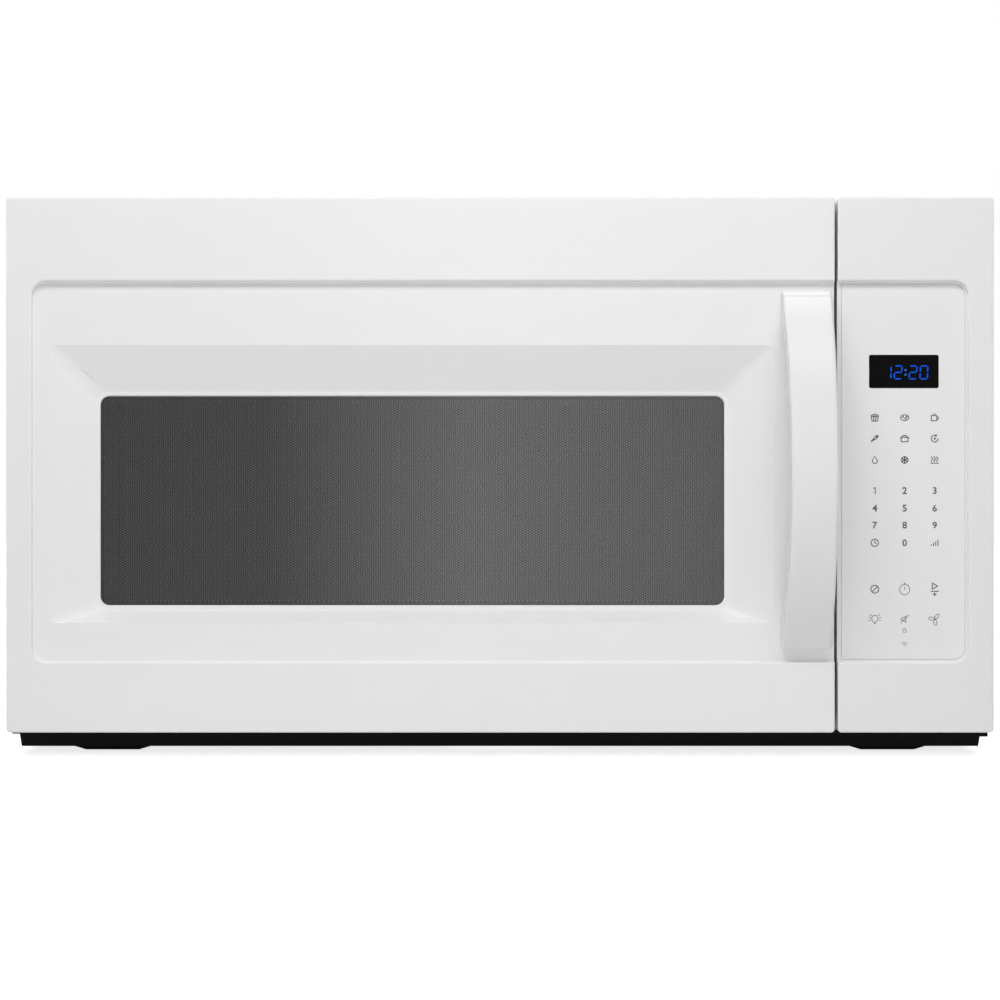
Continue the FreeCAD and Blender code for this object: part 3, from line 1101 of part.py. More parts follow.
def microwave_parts():
    """What makes the microwaves and cools it: waveguide, magnetron, transformer, capacitor and fan."""
    box = block("waveguide_box", WAVE_X, WAVE_F, WAVE_Z)
    hollow = block("waveguide_hollow", (f"{WAVE_X[0]} - 1", f"{WAVE_X[1]} - steel"),
                   grown(WAVE_F, "-steel"), grown(WAVE_Z, "-steel"))
    port = rod("waveguide_port", "antenna_radius + 2", "x", (f"{WAVE_X[1]} - 2*steel", f"{WAVE_X[1]} + 1"),
               (TABLE_F, BAY_Z))
    finish("waveguide", cut("waveguide", box, hollow, port))
    yoke = block("yoke_box", MAGNETRON_X, MAGNETRON_F, MAGNETRON_Z)
    gap = block("yoke_gap", grown(MAGNETRON_X, "-3"), grown(MAGNETRON_F, "1"), grown(MAGNETRON_Z, "-3"))
    bore = rod("yoke_bore", "antenna_radius", "x", (f"{MAGNETRON_X[0]} - 1", f"{MAGNETRON_X[0]} + 4"),
               (TABLE_F, BAY_Z))
    finish("magnetron_yoke", cut("magnetron_yoke", yoke, gap, bore))
    tube = rod("magnetron_tube", "20", "x", (f"{MAGNETRON_X[0]} + 3", f"{MAGNETRON_X[1]} - 3"),
               (TABLE_F, BAY_Z))
    antenna = rod("magnetron_antenna", "antenna_radius", "x",
                  (f"{MAGNETRON_X[0]} - 22", f"{MAGNETRON_X[0]} + 3"), (TABLE_F, BAY_Z))
    fins = []
    for number in range(6):
        start = f"({MAGNETRON_X[0]} + 14 + {number}*9)"
        fins.append(block(f"magnetron_fin_{number}", (start, f"({start} + 1.2)"), grown(MAGNETRON_F, "-2"),
                          grown(MAGNETRON_Z, "-6")))
    finish("magnetron_fins", fuse("magnetron_fins", tube, antenna, *fins))
    shelf = block("shelf_sheet", (CAVITY_SIDE, INNER), ("steel", f"({PLATE_BACK})"), SHELF_Z)
    lip = block("shelf_lip", (f"({INNER} - steel)", INNER), ("steel", PLATE_BACK),
                (SHELF_Z[0], f"({SHELF_Z[1]} + 12)"))
    vent = block("shelf_vent", (f"({CAVITY_SIDE} + 30)", f"({INNER} - 30)"),
                 ("(cabinet_depth - 114)", "(cabinet_depth - 44)"),
                 (f"{SHELF_Z[0]} - 1", f"{SHELF_Z[1]} + 1"))
    finish("component_shelf", cut("component_shelf", fuse("shelf", shelf, lip), vent))
    core_x = (f"({CAVITY_SIDE} + 14)", f"({CAVITY_SIDE} + 14 + core_width)")
    core_f, core_z = ("110", "(110 + core_length)"), (SHELF_Z[1], f"({SHELF_Z[1]} + core_height)")
    core = block("core_block", core_x, core_f, core_z)
    windows = [block(f"core_window_{name}", x, grown(core_f, "1"), grown(core_z, "-core_height/6"))
               for name, x in (("left", (f"({core_x[0]} + core_width/6)", f"({core_x[0]} + core_width/3)")),
                               ("right", (f"({core_x[1]} - core_width/3)",
                                          f"({core_x[1]} - core_width/6)")))]
    finish("transformer_core", cut("transformer_core", core, *windows))
    coil = block("coil_block", grown(core_x, "-core_width/6"), grown(core_f, "16"),
                 grown(core_z, "-core_height/6"))
    leg = block("coil_leg", grown(core_x, "-core_width/3"), grown(core_f, "17"), grown(core_z, "0"))
    finish("transformer_windings", cut("transformer_windings", coil, leg))
    capacitor = new_body("hv_capacitor")
    can_x = (f"({INNER} - 20 - 36)", f"({INNER} - 20)")
    pad(capacitor, rectangle(sketch_on(capacitor, "XZ", "100"), can_x, (SHELF_Z[1], f"({SHELF_Z[1]} + 54)"),
                             "16"), "90")
    finish("hv_capacitor", capacitor)
    bracket_x, bracket_z = (f"({BAY_X} - 66)", INNER), (f"({BAY_Z} - 66)", f"({BAY_Z} + 66)")
    bracket = plate("fan_plate", bracket_x, bracket_z, "fan_wall", "steel")
    pocket(bracket, circle(sketch_on(bracket, "XZ", "fan_wall + steel"), BAY_X, BAY_Z, "fan_radius + 3"),
           "2*steel")
    pad(bracket, rectangle(sketch_on(bracket, "XZ", "fan_wall"), grown((BAY_X, BAY_X), "60"),
                           (f"({BAY_Z} - 7)", f"({BAY_Z} + 7)")), "steel")
    foot_x = (bracket_x[0], f"({bracket_x[0]} + steel)")
    pad(bracket, rectangle(sketch_on(bracket, "XZ", "steel"), foot_x, bracket_z), "fan_wall")
    pocket(bracket, circle(sketch_on(bracket, "XZ", "fan_wall + steel"), BAY_X, BAY_Z,
                           "fan_shaft_radius + 2*fit_gap"), "2*steel")
    finish("fan_bracket", bracket)
    can = rod("fan_motor_can", "22", "forward", ("fan_wall - 34", "fan_wall"), (BAY_X, BAY_Z))
    hole = rod("fan_motor_hole", "fan_shaft_radius + pin_gap", "forward", ("fan_wall - 20", "fan_wall + 1"),
               (BAY_X, BAY_Z))
    finish("fan_motor", cut("fan_motor", can, hole))
    fan = new_body("fan_blades")
    base = "4"
    pad(fan, circle(sketch_on(fan, "XY", base), "0", "0", "12"), "fan_width")
    pad(fan, circle(sketch_on(fan, "XY", "-18"), "0", "0", "fan_shaft_radius"), "30")
    root = outline(sketch_on(fan, "YZ", "10"), [("-8", base), ("-6", base), ("8", f"{base} + fan_width"),
                                                ("6", f"{base} + fan_width")])
    tip = outline(sketch_on(fan, "YZ", "fan_radius"), [("-13", f"{base} + 4"), ("-11", f"{base} + 4"),
                                                      ("13", f"{base} + fan_width - 4"),
                                                      ("11", f"{base} + fan_width - 4")])
    polar(fan, loft(fan, root, tip), 5)
    place(fan, BAY_X, "-(fan_wall + steel)", BAY_Z, turn=TURNS["forward"])
    finish("fan_blades", fan)
    lamp = block("lamp_box", (CAVITY_SIDE, f"({CAVITY_SIDE} + 26)"), LAMP_F, LAMP_Z)
    lamp_hollow = block("lamp_hollow", (f"{CAVITY_SIDE} - 1", f"{CAVITY_SIDE} + 24"), grown(LAMP_F, "-2"),
                        grown(LAMP_Z, "-2"))
    bulb = rod("lamp_bulb", "8", "x", (f"{CAVITY_SIDE} + 4", f"{CAVITY_SIDE} + 25"),
               (f"({LAMP_F[0]} + {LAMP_F[1]})/2", f"({LAMP_Z[0]} + {LAMP_Z[1]})/2"))
    finish("cavity_lamp", fuse("cavity_lamp", cut("lamp_shell", lamp, lamp_hollow), bulb))


def latch_side():
    """The board behind the front plate that the door's hooks enter, with its three switches."""
    board = block("guide_board", (f"({LATCH_X[0]} - 10)", f"({LATCH_X[1]} + 12)"), GUIDE_F,
                  (f"({LATCH_HOOKS[0]} - 28)", f"({LATCH_HOOKS[1]} + 36)"))
    channels = [block(f"guide_channel_{number}", (f"({LATCH_X[0]} - 1)", f"({LATCH_X[1]} + 2.2)"),
                      (f"{GUIDE_F[0]} - 1", f"{GUIDE_F[1]} + 1"),
                      (f"({hook} - hook_barb - 1.2)", f"({hook} + hook_shank + latch_travel + 1.2)"))
                for number, hook in enumerate(LATCH_HOOKS)]
    finish("latch_board", cut("latch_board", board, *channels))
    switches = []
    for number, z in enumerate((f"({LATCH_HOOKS[0]} - 6)", f"({LATCH_HOOKS[0]} + 60)",
                                f"({LATCH_HOOKS[1]} - 6)")):
        side = f"({LATCH_X[1]} + 12)"
        switches.append(block(f"switch_{number}", (side, f"({side} + 10)"), grown(GUIDE_F, "-6"),
                              (z, f"({z} + 28)")))
    finish("interlock_switches", group("interlock_switches", *switches))


# ----------------------------------------------------------------------------------------------------------
# Turntable
# ----------------------------------------------------------------------------------------------------------
def turntable():
    tray = new_body("glass_tray")
    section = outline(sketch_on(tray, "XZ"), [
        ("0", "0"), (f"{TRAY_RADIUS} - 12", "0"), (f"{TRAY_RADIUS} - 3", "tray_rim - 4"),
        (TRAY_RADIUS, "tray_rim - 3"), (TRAY_RADIUS, "tray_rim"), (f"{TRAY_RADIUS} - 5", "tray_rim"),
        (f"{TRAY_RADIUS} - 14", "tray_glass"), ("0", "tray_glass")])
    revolve(tray, section)
    lug = rectangle(sketch_on(tray, "XY"), ("15", "21"), ("-4", "4"))
    polar(tray, pad(tray, lug, "tray_lug_height", back=True), 3)
    place(tray, TABLE_X, f"-{TABLE_F}", f"{DISH} + 2*wheel_radius + fit_gap")
    finish("glass_tray", tray)
    drive = new_body("drive_coupler")
    section = outline(sketch_on(drive, "XZ"), [
        ("0", "-12"), ("motor_shaft_radius", "-12"), ("motor_shaft_radius", "2*fit_gap"),
        ("coupler_radius", "2*fit_gap"),
        ("coupler_radius", "2*wheel_radius"), ("0", "2*wheel_radius")])
    revolve(drive, section)
    lobe = rectangle(sketch_on(drive, "XY", "wheel_radius + ring_height/2 + fit_gap"),
                     ("coupler_radius - 1", "18"), ("-3.5", "3.5"))
    polar(drive, pad(drive, lobe, "wheel_radius - ring_height/2 - fit_gap"), 3)
    place(drive, TABLE_X, f"-{TABLE_F}", DISH, turn=((0, 0, 1), 60))
    finish("drive_coupler", drive)
    ring = new_body("roller_ring")
    inner_edge = "(track_radius - wheel_width/2 - 2*fit_gap - ring_wall)"
    rim = circle(sketch_on(ring, "XY"), "0", "0", f"{inner_edge} + ring_wall")
    pad(ring, circle(rim, "0", "0", inner_edge), "ring_height")
    hub = circle(sketch_on(ring, "XY"), "0", "0", "hub_radius")
    spoke = rectangle(sketch_on(ring, "XY"), ("hub_radius - 1", f"({inner_edge} + 1)"),
                      ("-spoke_width/2", "spoke_width/2"))
    polar(ring, pad(ring, spoke, "ring_height"), 3)
    pad(ring, hub, "ring_height")
    pocket(ring, circle(sketch_on(ring, "XY", "ring_height"), "0", "0", "coupler_radius + fit_gap"),
           "2*ring_height")
    axle = circle(sketch_on(ring, "YZ", f"{inner_edge} + ring_wall/2"), "0", "ring_height/2", "axle_radius")
    polar(ring, pad(ring, axle, "ring_wall/2 + wheel_width + 6*fit_gap"), 3)
    place(ring, TABLE_X, f"-{TABLE_F}", f"{DISH} + wheel_radius - ring_height/2")
    finish("roller_ring", ring)
    for number, angle in enumerate((0, 120, 240), start=1):
        wheel = new_body(f"wheel_{number}")
        disc = circle(sketch_on(wheel, "YZ", "track_radius - wheel_width/2"), "0", "0", "wheel_radius")
        pad(wheel, circle(disc, "0", "0", "axle_radius + pin_gap"), "wheel_width")
        place(wheel, TABLE_X, f"-{TABLE_F}", f"{DISH} + wheel_radius", turn=((0, 0, 1), angle))
        finish(f"roller_wheel_{number}", wheel)
    motor_top = f"({DISH} - steel)"
    can = rod("table_motor_can", "motor_radius", "z", (f"{motor_top} - motor_height", motor_top),
              (TABLE_X, TABLE_F))
    hole = rod("table_motor_hole", "motor_shaft_radius + pin_gap", "z",
               (f"{motor_top} - 14", f"{motor_top} + 1"), (TABLE_X, TABLE_F))
    finish("turntable_motor", cut("turntable_motor", can, hole))


# ----------------------------------------------------------------------------------------------------------
# Hood: blower, grille, filters, lamp
# ----------------------------------------------------------------------------------------------------------
BLOWER_Z = f"({CAVITY_ROOF} + scroll_radius + scroll_step + scroll_wall)"
WHEEL_START = "(vent_motor_length/2 + blower_wheel_side)"
SCROLL_START = f"({WHEEL_START} - scroll_side_gap - scroll_wall)"
SCROLL_WIDTH = "(blower_wheel_width + 2*scroll_side_gap + 2*scroll_wall)"


def scroll_outline(sketch, grow, reach):
    """A four-centre spiral: each quarter's radius is one step larger, and it leaves forward as a duct."""
    y, z, a, r = "(-blower_rear)", BLOWER_Z, "scroll_step", f"(scroll_radius + {grow})"
    return outline(sketch, [
        (f"({y} - scroll_duct - {reach})", f"({z} + scroll_radius - {grow})"),
        (f"({y} - {r})", f"({z} + scroll_radius - {grow})"),
        (f"({y} - {r})", z), (f"({y} + {a})", f"({z} - {r} - {a})", f"({r} + {a})"),
        (f"({y} + {r} + 3*{a})", f"({z} + {a})", f"({r} + 2*{a})"),
        (f"({y})", f"({z} + {r} + 4*{a})", f"({r} + 3*{a})"),
        (f"({y} - scroll_duct - {reach})", f"({z} + {r} + 4*{a})")])


def blower():
    """Two squirrel-cage wheels on one shaft, driven by the motor between them, each in its own scroll."""
    scrolls, wheels = [], []
    for name, side in (("left", -1), ("right", 1)):
        back = side < 0
        body = new_body(f"scroll_{name}")
        first, lid = f"{side}*{SCROLL_START}", f"{side}*({SCROLL_START} + {SCROLL_WIDTH} - scroll_wall)"
        pad(body, scroll_outline(sketch_on(body, "YZ", first), "scroll_wall", "0"),
            f"{SCROLL_WIDTH} - scroll_wall", back)
        pocket(body, scroll_outline(sketch_on(body, "YZ", lid), "0", "1"),
               f"{SCROLL_WIDTH} - 2*scroll_wall", ahead=back)
        pad(body, scroll_outline(sketch_on(body, "YZ", lid), "scroll_wall", "0"), "scroll_wall", back)
        inlet = circle(sketch_on(body, "YZ", f"{lid} + {side}*scroll_wall"), "-blower_rear", BLOWER_Z,
                       "blower_wheel_radius - 8")
        pocket(body, inlet, "2*scroll_wall", ahead=back)
        shaft_hole = circle(sketch_on(body, "YZ", first), "-blower_rear", BLOWER_Z, "3*blower_shaft_radius")
        pocket(body, shaft_hole, "2*scroll_wall", ahead=not back)
        scrolls.append(body)
        wheel = new_body(f"blower_wheel_{name}")
        radius = "blower_wheel_radius"
        pad(wheel, circle(sketch_on(wheel, "XY"), "0", "0", radius), "2")
        pad(wheel, circle(sketch_on(wheel, "XY"), "0", "0", "2*blower_shaft_radius"), "16")
        pocket(wheel, circle(sketch_on(wheel, "XY"), "0", "0", "blower_shaft_radius"), "20", ahead=True)
        blade = outline(sketch_on(wheel, "XY"), [(f"({radius} - 7)", "-1.4"), (f"({radius} - 0.8)", "1.8"),
                                                 (f"({radius} - 0.8)", "3"),
                                                 (f"({radius} - 7)", "-0.2")])
        polar(wheel, pad(wheel, blade, "blower_wheel_width"), 24)
        rim = circle(sketch_on(wheel, "XY", "blower_wheel_width - 3"), "0", "0", radius)
        pad(wheel, circle(rim, "0", "0", f"{radius} - 4"), "3")
        place(wheel, f"{side}*{WHEEL_START}", "-blower_rear", BLOWER_Z, turn=((0, 1, 0), 90*side))
        wheels.append(wheel)
    finish("blower_housings", group("blower_housings", *scrolls))
    finish("blower_wheels", group("blower_wheels", *wheels))
    shaft_end = f"({WHEEL_START} + 20)"
    finish("blower_shaft", rod("shaft", "blower_shaft_radius", "x", (f"-{shaft_end}", shaft_end),
                               ("blower_rear", BLOWER_Z)))
    motor_x = ("-vent_motor_length/2", "vent_motor_length/2")
    can = rod("vent_motor_can", "vent_motor_radius", "x", motor_x, ("blower_rear", BLOWER_Z))
    bearing = rod("vent_motor_bearing", "blower_shaft_radius + pin_gap", "x",
                  ("-vent_motor_length", "vent_motor_length"), ("blower_rear", BLOWER_Z))
    finish("vent_motor", cut("vent_motor", can, bearing))
    saddle = block("saddle_block", ("-20", "20"), ("(blower_rear - 30)", "(blower_rear + 30)"),
                   (CAVITY_ROOF, f"({BLOWER_Z} - vent_motor_radius*0.75)"))
    seat = rod("saddle_seat", "vent_motor_radius", "x", ("-30", "30"), ("blower_rear", BLOWER_Z))
    finish("blower_bracket", cut("blower_bracket", saddle, seat))


def hood():
    """Top grille, charcoal filter, grease filters, cooktop lamp, and the fittings on top of the cabinet."""
    grille = new_body("vent_grille")
    pad(grille, rectangle(sketch_on(grille, "XY", f"{TOP} - 3"), grown(GRILLE_X, "5"),
                          flat(grown(GRILLE_F, "5"))), "3 - steel")
    pad(grille, rectangle(sketch_on(grille, "XY", ROOF), GRILLE_X, flat(GRILLE_F)), "steel")
    slot = rectangle(sketch_on(grille, "XY", TOP),
                     (f"({GRILLE_X[0]} + 6)", f"({GRILLE_X[0]} + 6 + louvre_slot)"),
                     flat(grown(GRILLE_F, "-4")))
    linear(grille, pocket(grille, slot, "4"), "H_Axis", "grille_width - 12 - louvre_slot", 48)
    finish("vent_grille", grille)
    carbon_f = (f"({PLATE_BACK} - 3 - carbon_length)", f"({PLATE_BACK} - 3)")
    carbon_z = (f"({TOP} - 3 - carbon_thickness)", f"({TOP} - 3)")
    carbon = new_body("charcoal_filter")
    carbon_x = ("(-carbon_width/2)", "(carbon_width/2)")
    pad(carbon, rectangle(sketch_on(carbon, "XY", carbon_z[0]), carbon_x, flat(carbon_f), "4"),
        "carbon_thickness")
    pocket(carbon, rectangle(sketch_on(carbon, "XY", carbon_z[1]), grown(carbon_x, "-6"),
                             flat(grown(carbon_f, "-6"))), "3")
    pocket(carbon, rectangle(sketch_on(carbon, "XY", carbon_z[0]), grown(carbon_x, "-6"),
                             flat(grown(carbon_f, "-6"))), "3", ahead=True)
    finish("charcoal_filter", carbon)
    for name, x in FILTER_X.items():
        body = new_body(f"filter_{name}")
        pad(body, rectangle(sketch_on(body, "XY", FILTER_Z[0]), x, flat(FILTER_F), "3"), "filter_thickness")
        for level, ahead in ((FILTER_Z[1], False), (FILTER_Z[0], True)):
            pocket(body, rectangle(sketch_on(body, "XY", level), grown(x, "-11"),
                                   flat(grown(FILTER_F, "-11"))), "filter_thickness/3", ahead)
        middle = f"(({x[0]} + {x[1]})/2)"
        tab_f = (f"({FILTER_F[1]} - 26)", f"({FILTER_F[1]} - 9)")
        tab = rectangle(sketch_on(body, "XY", f"{FILTER_Z[0]} + filter_thickness/3"),
                        (f"({middle} - 12)", f"({middle} + 12)"), flat(tab_f))
        pad(body, tab, "filter_thickness/3 + 1", back=True)
        finish(f"grease_filter_{name}", body)
    lens_z = (BASE_TOP, f"({BASE_TOP} + lens_thickness)")
    finish("cooktop_lens", block("lens", LENS_X, LENS_F, lens_z))
    case = block("cooktop_case", LENS_X, LENS_F, (lens_z[1], f"({lens_z[1]} + 26)"))
    case_hollow = block("cooktop_hollow", grown(LENS_X, "-2"), grown(LENS_F, "-2"),
                        (f"{lens_z[1]} - 1", f"{lens_z[1]} + 24"))
    bulb = rod("cooktop_bulb", "7", "z", (f"{lens_z[1]} + 4", f"{lens_z[1]} + 25"),
               ("0", f"({LENS_F[0]} + {LENS_F[1]})/2"))
    finish("cooktop_lamp", fuse("cooktop_lamp", cut("cooktop_shell", case, case_hollow), bulb))
    collar = rod("cord_collar", "cord_hole_radius", "z", (ROOF, TOP), (CORD_X, CORD_F))
    flange = rod("cord_flange", "cord_hole_radius + 4", "z", (f"{ROOF} - 2", ROOF), (CORD_X, CORD_F))
    bore = rod("cord_bore", "cord_bush_bore", "z", (f"{ROOF} - 3", f"{TOP} + 1"), (CORD_X, CORD_F))
    finish("cord_bushing", cut("cord_bushing", fuse("cord_rings", collar, flange), bore))
    nuts = []
    for number, x in enumerate(MOUNT_X):
        collar = rod(f"nut_collar_{number}", "mount_collar_radius", "z", (ROOF, TOP), (x, "mount_rear"))
        body = rod(f"nut_body_{number}", "mount_collar_radius + 5", "z", (f"{ROOF} - 3", ROOF),
                   (x, "mount_rear"))
        hole = rod(f"nut_hole_{number}", "mount_hole_radius", "z", (f"{ROOF} - 4", f"{TOP} + 1"),
                   (x, "mount_rear"))
        nuts.append(cut(f"nut_{number}", fuse(f"nut_rings_{number}", collar, body), hole))
    finish("mounting_nuts", group("mounting_nuts", *nuts))


door_moulding()
door_glazing()
choke_cover()
handle()
hinge_bushes()
latch()
control_panel()
cabinet_wrap()
rear_panel()
front_plate()
base_plate()
hinges()
oven_cavity()
microwave_parts()
latch_side()
turntable()
blower()
hood()
doc.recompute()

faults = [f"{item.Name}: {item.State}" for item in doc.Objects if "Invalid" in item.State
          or "Error" in item.State]
faults += [f"{label}: no valid solid" for label, item in FINISHED.items() if item.Shape.isNull()
           or not item.Shape.isValid()]
if faults:
    raise RuntimeError("; ".join(faults))

os.makedirs("parts", exist_ok=True)
for label, item in FINISHED.items():
    item.Shape.exportStep(f"parts/{label}.step")
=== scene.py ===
# %% [markdown]
# # An over-the-range microwave, dressed in Blender
#
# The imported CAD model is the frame: every solid is already in its place, in metres. This notebook gives each
# solid the finish of the real piece, and adds what a CAD solid is too coarse for: the holes of the door's screen,
# the marks on the keypad, the figures of the clock and the mesh of the grease filters. Then it sets up a plain
# studio.

# %% Load the frame
import math

import bpy
import numpy as np
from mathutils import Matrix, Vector


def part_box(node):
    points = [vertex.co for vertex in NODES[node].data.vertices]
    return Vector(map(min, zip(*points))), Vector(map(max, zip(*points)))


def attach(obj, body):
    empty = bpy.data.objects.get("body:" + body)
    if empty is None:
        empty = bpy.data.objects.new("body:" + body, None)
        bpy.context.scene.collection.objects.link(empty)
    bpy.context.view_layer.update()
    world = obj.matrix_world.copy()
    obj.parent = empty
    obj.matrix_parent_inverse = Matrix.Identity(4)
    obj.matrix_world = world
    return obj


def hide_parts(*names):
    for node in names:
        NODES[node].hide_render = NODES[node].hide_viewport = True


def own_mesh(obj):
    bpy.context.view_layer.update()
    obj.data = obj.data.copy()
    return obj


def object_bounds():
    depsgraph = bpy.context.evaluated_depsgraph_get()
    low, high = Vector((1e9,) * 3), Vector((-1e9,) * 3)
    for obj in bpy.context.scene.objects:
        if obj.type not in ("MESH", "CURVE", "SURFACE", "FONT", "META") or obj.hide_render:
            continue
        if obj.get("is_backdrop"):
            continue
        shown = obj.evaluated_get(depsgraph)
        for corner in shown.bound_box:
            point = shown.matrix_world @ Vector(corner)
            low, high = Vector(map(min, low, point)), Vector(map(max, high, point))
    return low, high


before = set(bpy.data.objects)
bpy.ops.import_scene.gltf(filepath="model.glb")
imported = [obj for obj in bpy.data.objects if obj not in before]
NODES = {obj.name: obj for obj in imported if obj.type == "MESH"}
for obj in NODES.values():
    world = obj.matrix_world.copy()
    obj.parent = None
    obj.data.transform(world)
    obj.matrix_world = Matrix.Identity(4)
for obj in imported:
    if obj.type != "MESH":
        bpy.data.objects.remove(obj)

CAD_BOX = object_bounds()
MM = 0.001
print(len(NODES), "nodes, box", [tuple(round(c, 4) for c in corner) for corner in CAD_BOX])

# %% [markdown]
# ## Helpers for materials
#
# Colours are picked as sRGB hex values, as a paint card gives them, while Blender's sockets are linear. One
# function turns one into the other, and one adds a node with its settings and its links. Patterns read Object
# coordinates. All pieces sit at the origin, so these are metres on the oven, and a scale can be worked out from a
# real size.

# %% Colour and node helpers
def linear(code):
    """sRGB hex to opaque linear RGBA: below 0.04045 a twelfth of the value, above it a power of 2.4."""
    srgb = np.array([int(code[place:place + 2], 16) for place in (1, 3, 5)]) / 255
    return (*np.where(srgb <= 0.04045, srgb / 12.92, ((srgb + 0.055) / 1.055) ** 2.4).tolist(), 1.0)


def add(tree, kind, inputs=None, **settings):
    """Adds one node. An input is named by its label or number, and gets a value or another node's output."""
    node = tree.nodes.new(f"ShaderNode{kind}")
    for name, value in settings.items():
        setattr(node, name, value)
    for name, value in (inputs or {}).items():
        if isinstance(value, bpy.types.NodeSocket):
            tree.links.new(value, node.inputs[name])
        else:
            node.inputs[name].default_value = value
    return node


def new_material(name):
    """An empty material with its output node, and its node tree."""
    material = bpy.data.materials.new(name)
    material.use_nodes = True
    tree = material.node_tree
    tree.nodes.clear()
    return material, tree, add(tree, "OutputMaterial")


def per(size_mm):
    """The Scale of a texture whose features are this many millimetres across."""
    return 1000.0 / size_mm


def surface(name, code, roughness, second=None, patch_mm=60, grain_mm=2.5, bump_mm=0.01, stretch=(1, 1, 1),
            **shader):
    """A principled surface with a slow drift between two near colours and a fine relief on top."""
    material, tree, output = new_material(name)
    place = add(tree, "TexCoord").outputs["Object"]
    drift = add(tree, "TexNoise", {"Vector": place, "Scale": per(patch_mm), "Detail": 2.0})
    colour = add(tree, "MixRGB", {"Fac": drift.outputs["Fac"], "Color1": linear(code),
                                  "Color2": linear(second or code)})
    mapped = add(tree, "Mapping", {"Vector": place, "Scale": stretch})
    grain = add(tree, "TexNoise", {"Vector": mapped.outputs["Vector"], "Scale": per(grain_mm), "Detail": 3.0})
    relief = add(tree, "Bump", {"Height": grain.outputs["Fac"], "Distance": bump_mm * MM, "Strength": 1.0})
    polish = add(tree, "MapRange", {"Value": grain.outputs["Fac"], "From Min": 0.3, "From Max": 0.7,
                                    "To Min": roughness * 0.92, "To Max": roughness * 1.08})
    principled = add(tree, "BsdfPrincipled", {"Base Color": colour.outputs["Color"],
                                              "Normal": relief.outputs["Normal"],
                                              "Roughness": polish.outputs["Result"], **shader})
    tree.links.new(principled.outputs[0], output.inputs["Surface"])
    return material


def dress(material, *names):
    """Gives a CAD node this material in place of its packed one."""
    for name in names:
        mesh = NODES[name].data
        mesh.materials.clear()
        mesh.materials.append(material)


# %% [markdown]
# ## White plastics
#
# The door's front, the handle and the control panel are injection-moulded ABS, polished to a gloss. It could be a
# plain white with a fixed roughness, but a real moulding has a very faint ripple from its mould, which breaks up the
# edge of a highlight. So the relief here is a few thousandths of a millimetre high, in patches 4 mm across. The
# keypad's film has a finer, duller grain.

# %% White mouldings
WHITE_ABS = surface("gloss_abs_white", "#EFEFEF", 0.20, "#EDEDED", patch_mm=90, grain_mm=4, bump_mm=0.004)
BEZEL_ABS = surface("gloss_abs_bezel", "#EDEDED", 0.20, "#EBEBEB", patch_mm=90, grain_mm=4, bump_mm=0.004)
# The handle is the same white ABS, but its copy is four levels darker: painted shade, for the handle standing forward
# in the lamps' light.
HANDLE_ABS_PAINTED_SHADE = surface("gloss_abs_handle_painted_shade", "#EBEBEB", 0.24, "#E9E9E9", patch_mm=70, grain_mm=4, bump_mm=0.003)
OVERLAY_FILM = surface("printed_film_white", "#EDEDED", 0.32, "#EBEBEB", patch_mm=50, grain_mm=0.6, bump_mm=0.003)
CHOKE_PP = surface("moulded_pp_grey", "#C6C6C4", 0.45, "#C2C2C0", grain_mm=1.2, bump_mm=0.02)
GRILLE_ABS = surface("moulded_abs_grille", "#E6E6E4", 0.42, "#E2E2E0", grain_mm=1.5, bump_mm=0.015)
NATURAL_ACETAL = surface("moulded_acetal_natural", "#EFEDE6", 0.38, "#EBE8E0", grain_mm=1.5, bump_mm=0.01)
dress(WHITE_ABS, "door_moulding")
dress(BEZEL_ABS, "control_bezel")
dress(OVERLAY_FILM, "keypad_overlay")
dress(CHOKE_PP, "choke_cover")
dress(GRILLE_ABS, "vent_grille")
dress(NATURAL_ACETAL, "latch_hooks", "latch_board", "drive_coupler", "roller_ring", "hinge_bushes",
      "roller_wheel_1", "roller_wheel_2", "roller_wheel_3")
print("white mouldings:", WHITE_ABS.name, BEZEL_ABS.name, HANDLE_ABS_PAINTED_SHADE.name, OVERLAY_FILM.name)

# %% [markdown]
# ## Painted, enamelled and bare sheet steel
#
# The cover and the front plate are baked powder paint, which has an orange-peel relief about 2 mm across. The
# cavity is light grey enamel paint with fine dark specks. The base is black paint with a dry texture. Inner sheets
# are galvanised: zinc grows in flat crystals about 10 mm across, each with its own shade, which Voronoi cells give.

# %% Sheet steel
COVER_PAINT = surface("powder_paint_white", "#EAEAE8", 0.42, "#E7E7E5", grain_mm=2.0, bump_mm=0.05)
FRONT_PAINT = surface("powder_paint_light_grey", "#DCDCDA", 0.45, "#D8D8D6", grain_mm=2.0, bump_mm=0.05)
DULL = {"Specular IOR Level": 0.05}      # a dry black skin mirrors almost nothing
BASE_PAINT = surface("dry_paint_black", "#070708", 0.5, "#0B0B0C", patch_mm=40, grain_mm=0.8, bump_mm=0.05, **DULL)
HINGE_PAINT = surface("baked_paint_black", "#101011", 0.42, "#151516", grain_mm=1.0, bump_mm=0.03, **DULL)
PAD_RUBBER = surface("moulded_rubber_black", "#060607", 0.62, "#0A0A0B", grain_mm=0.7, bump_mm=0.05, **DULL)


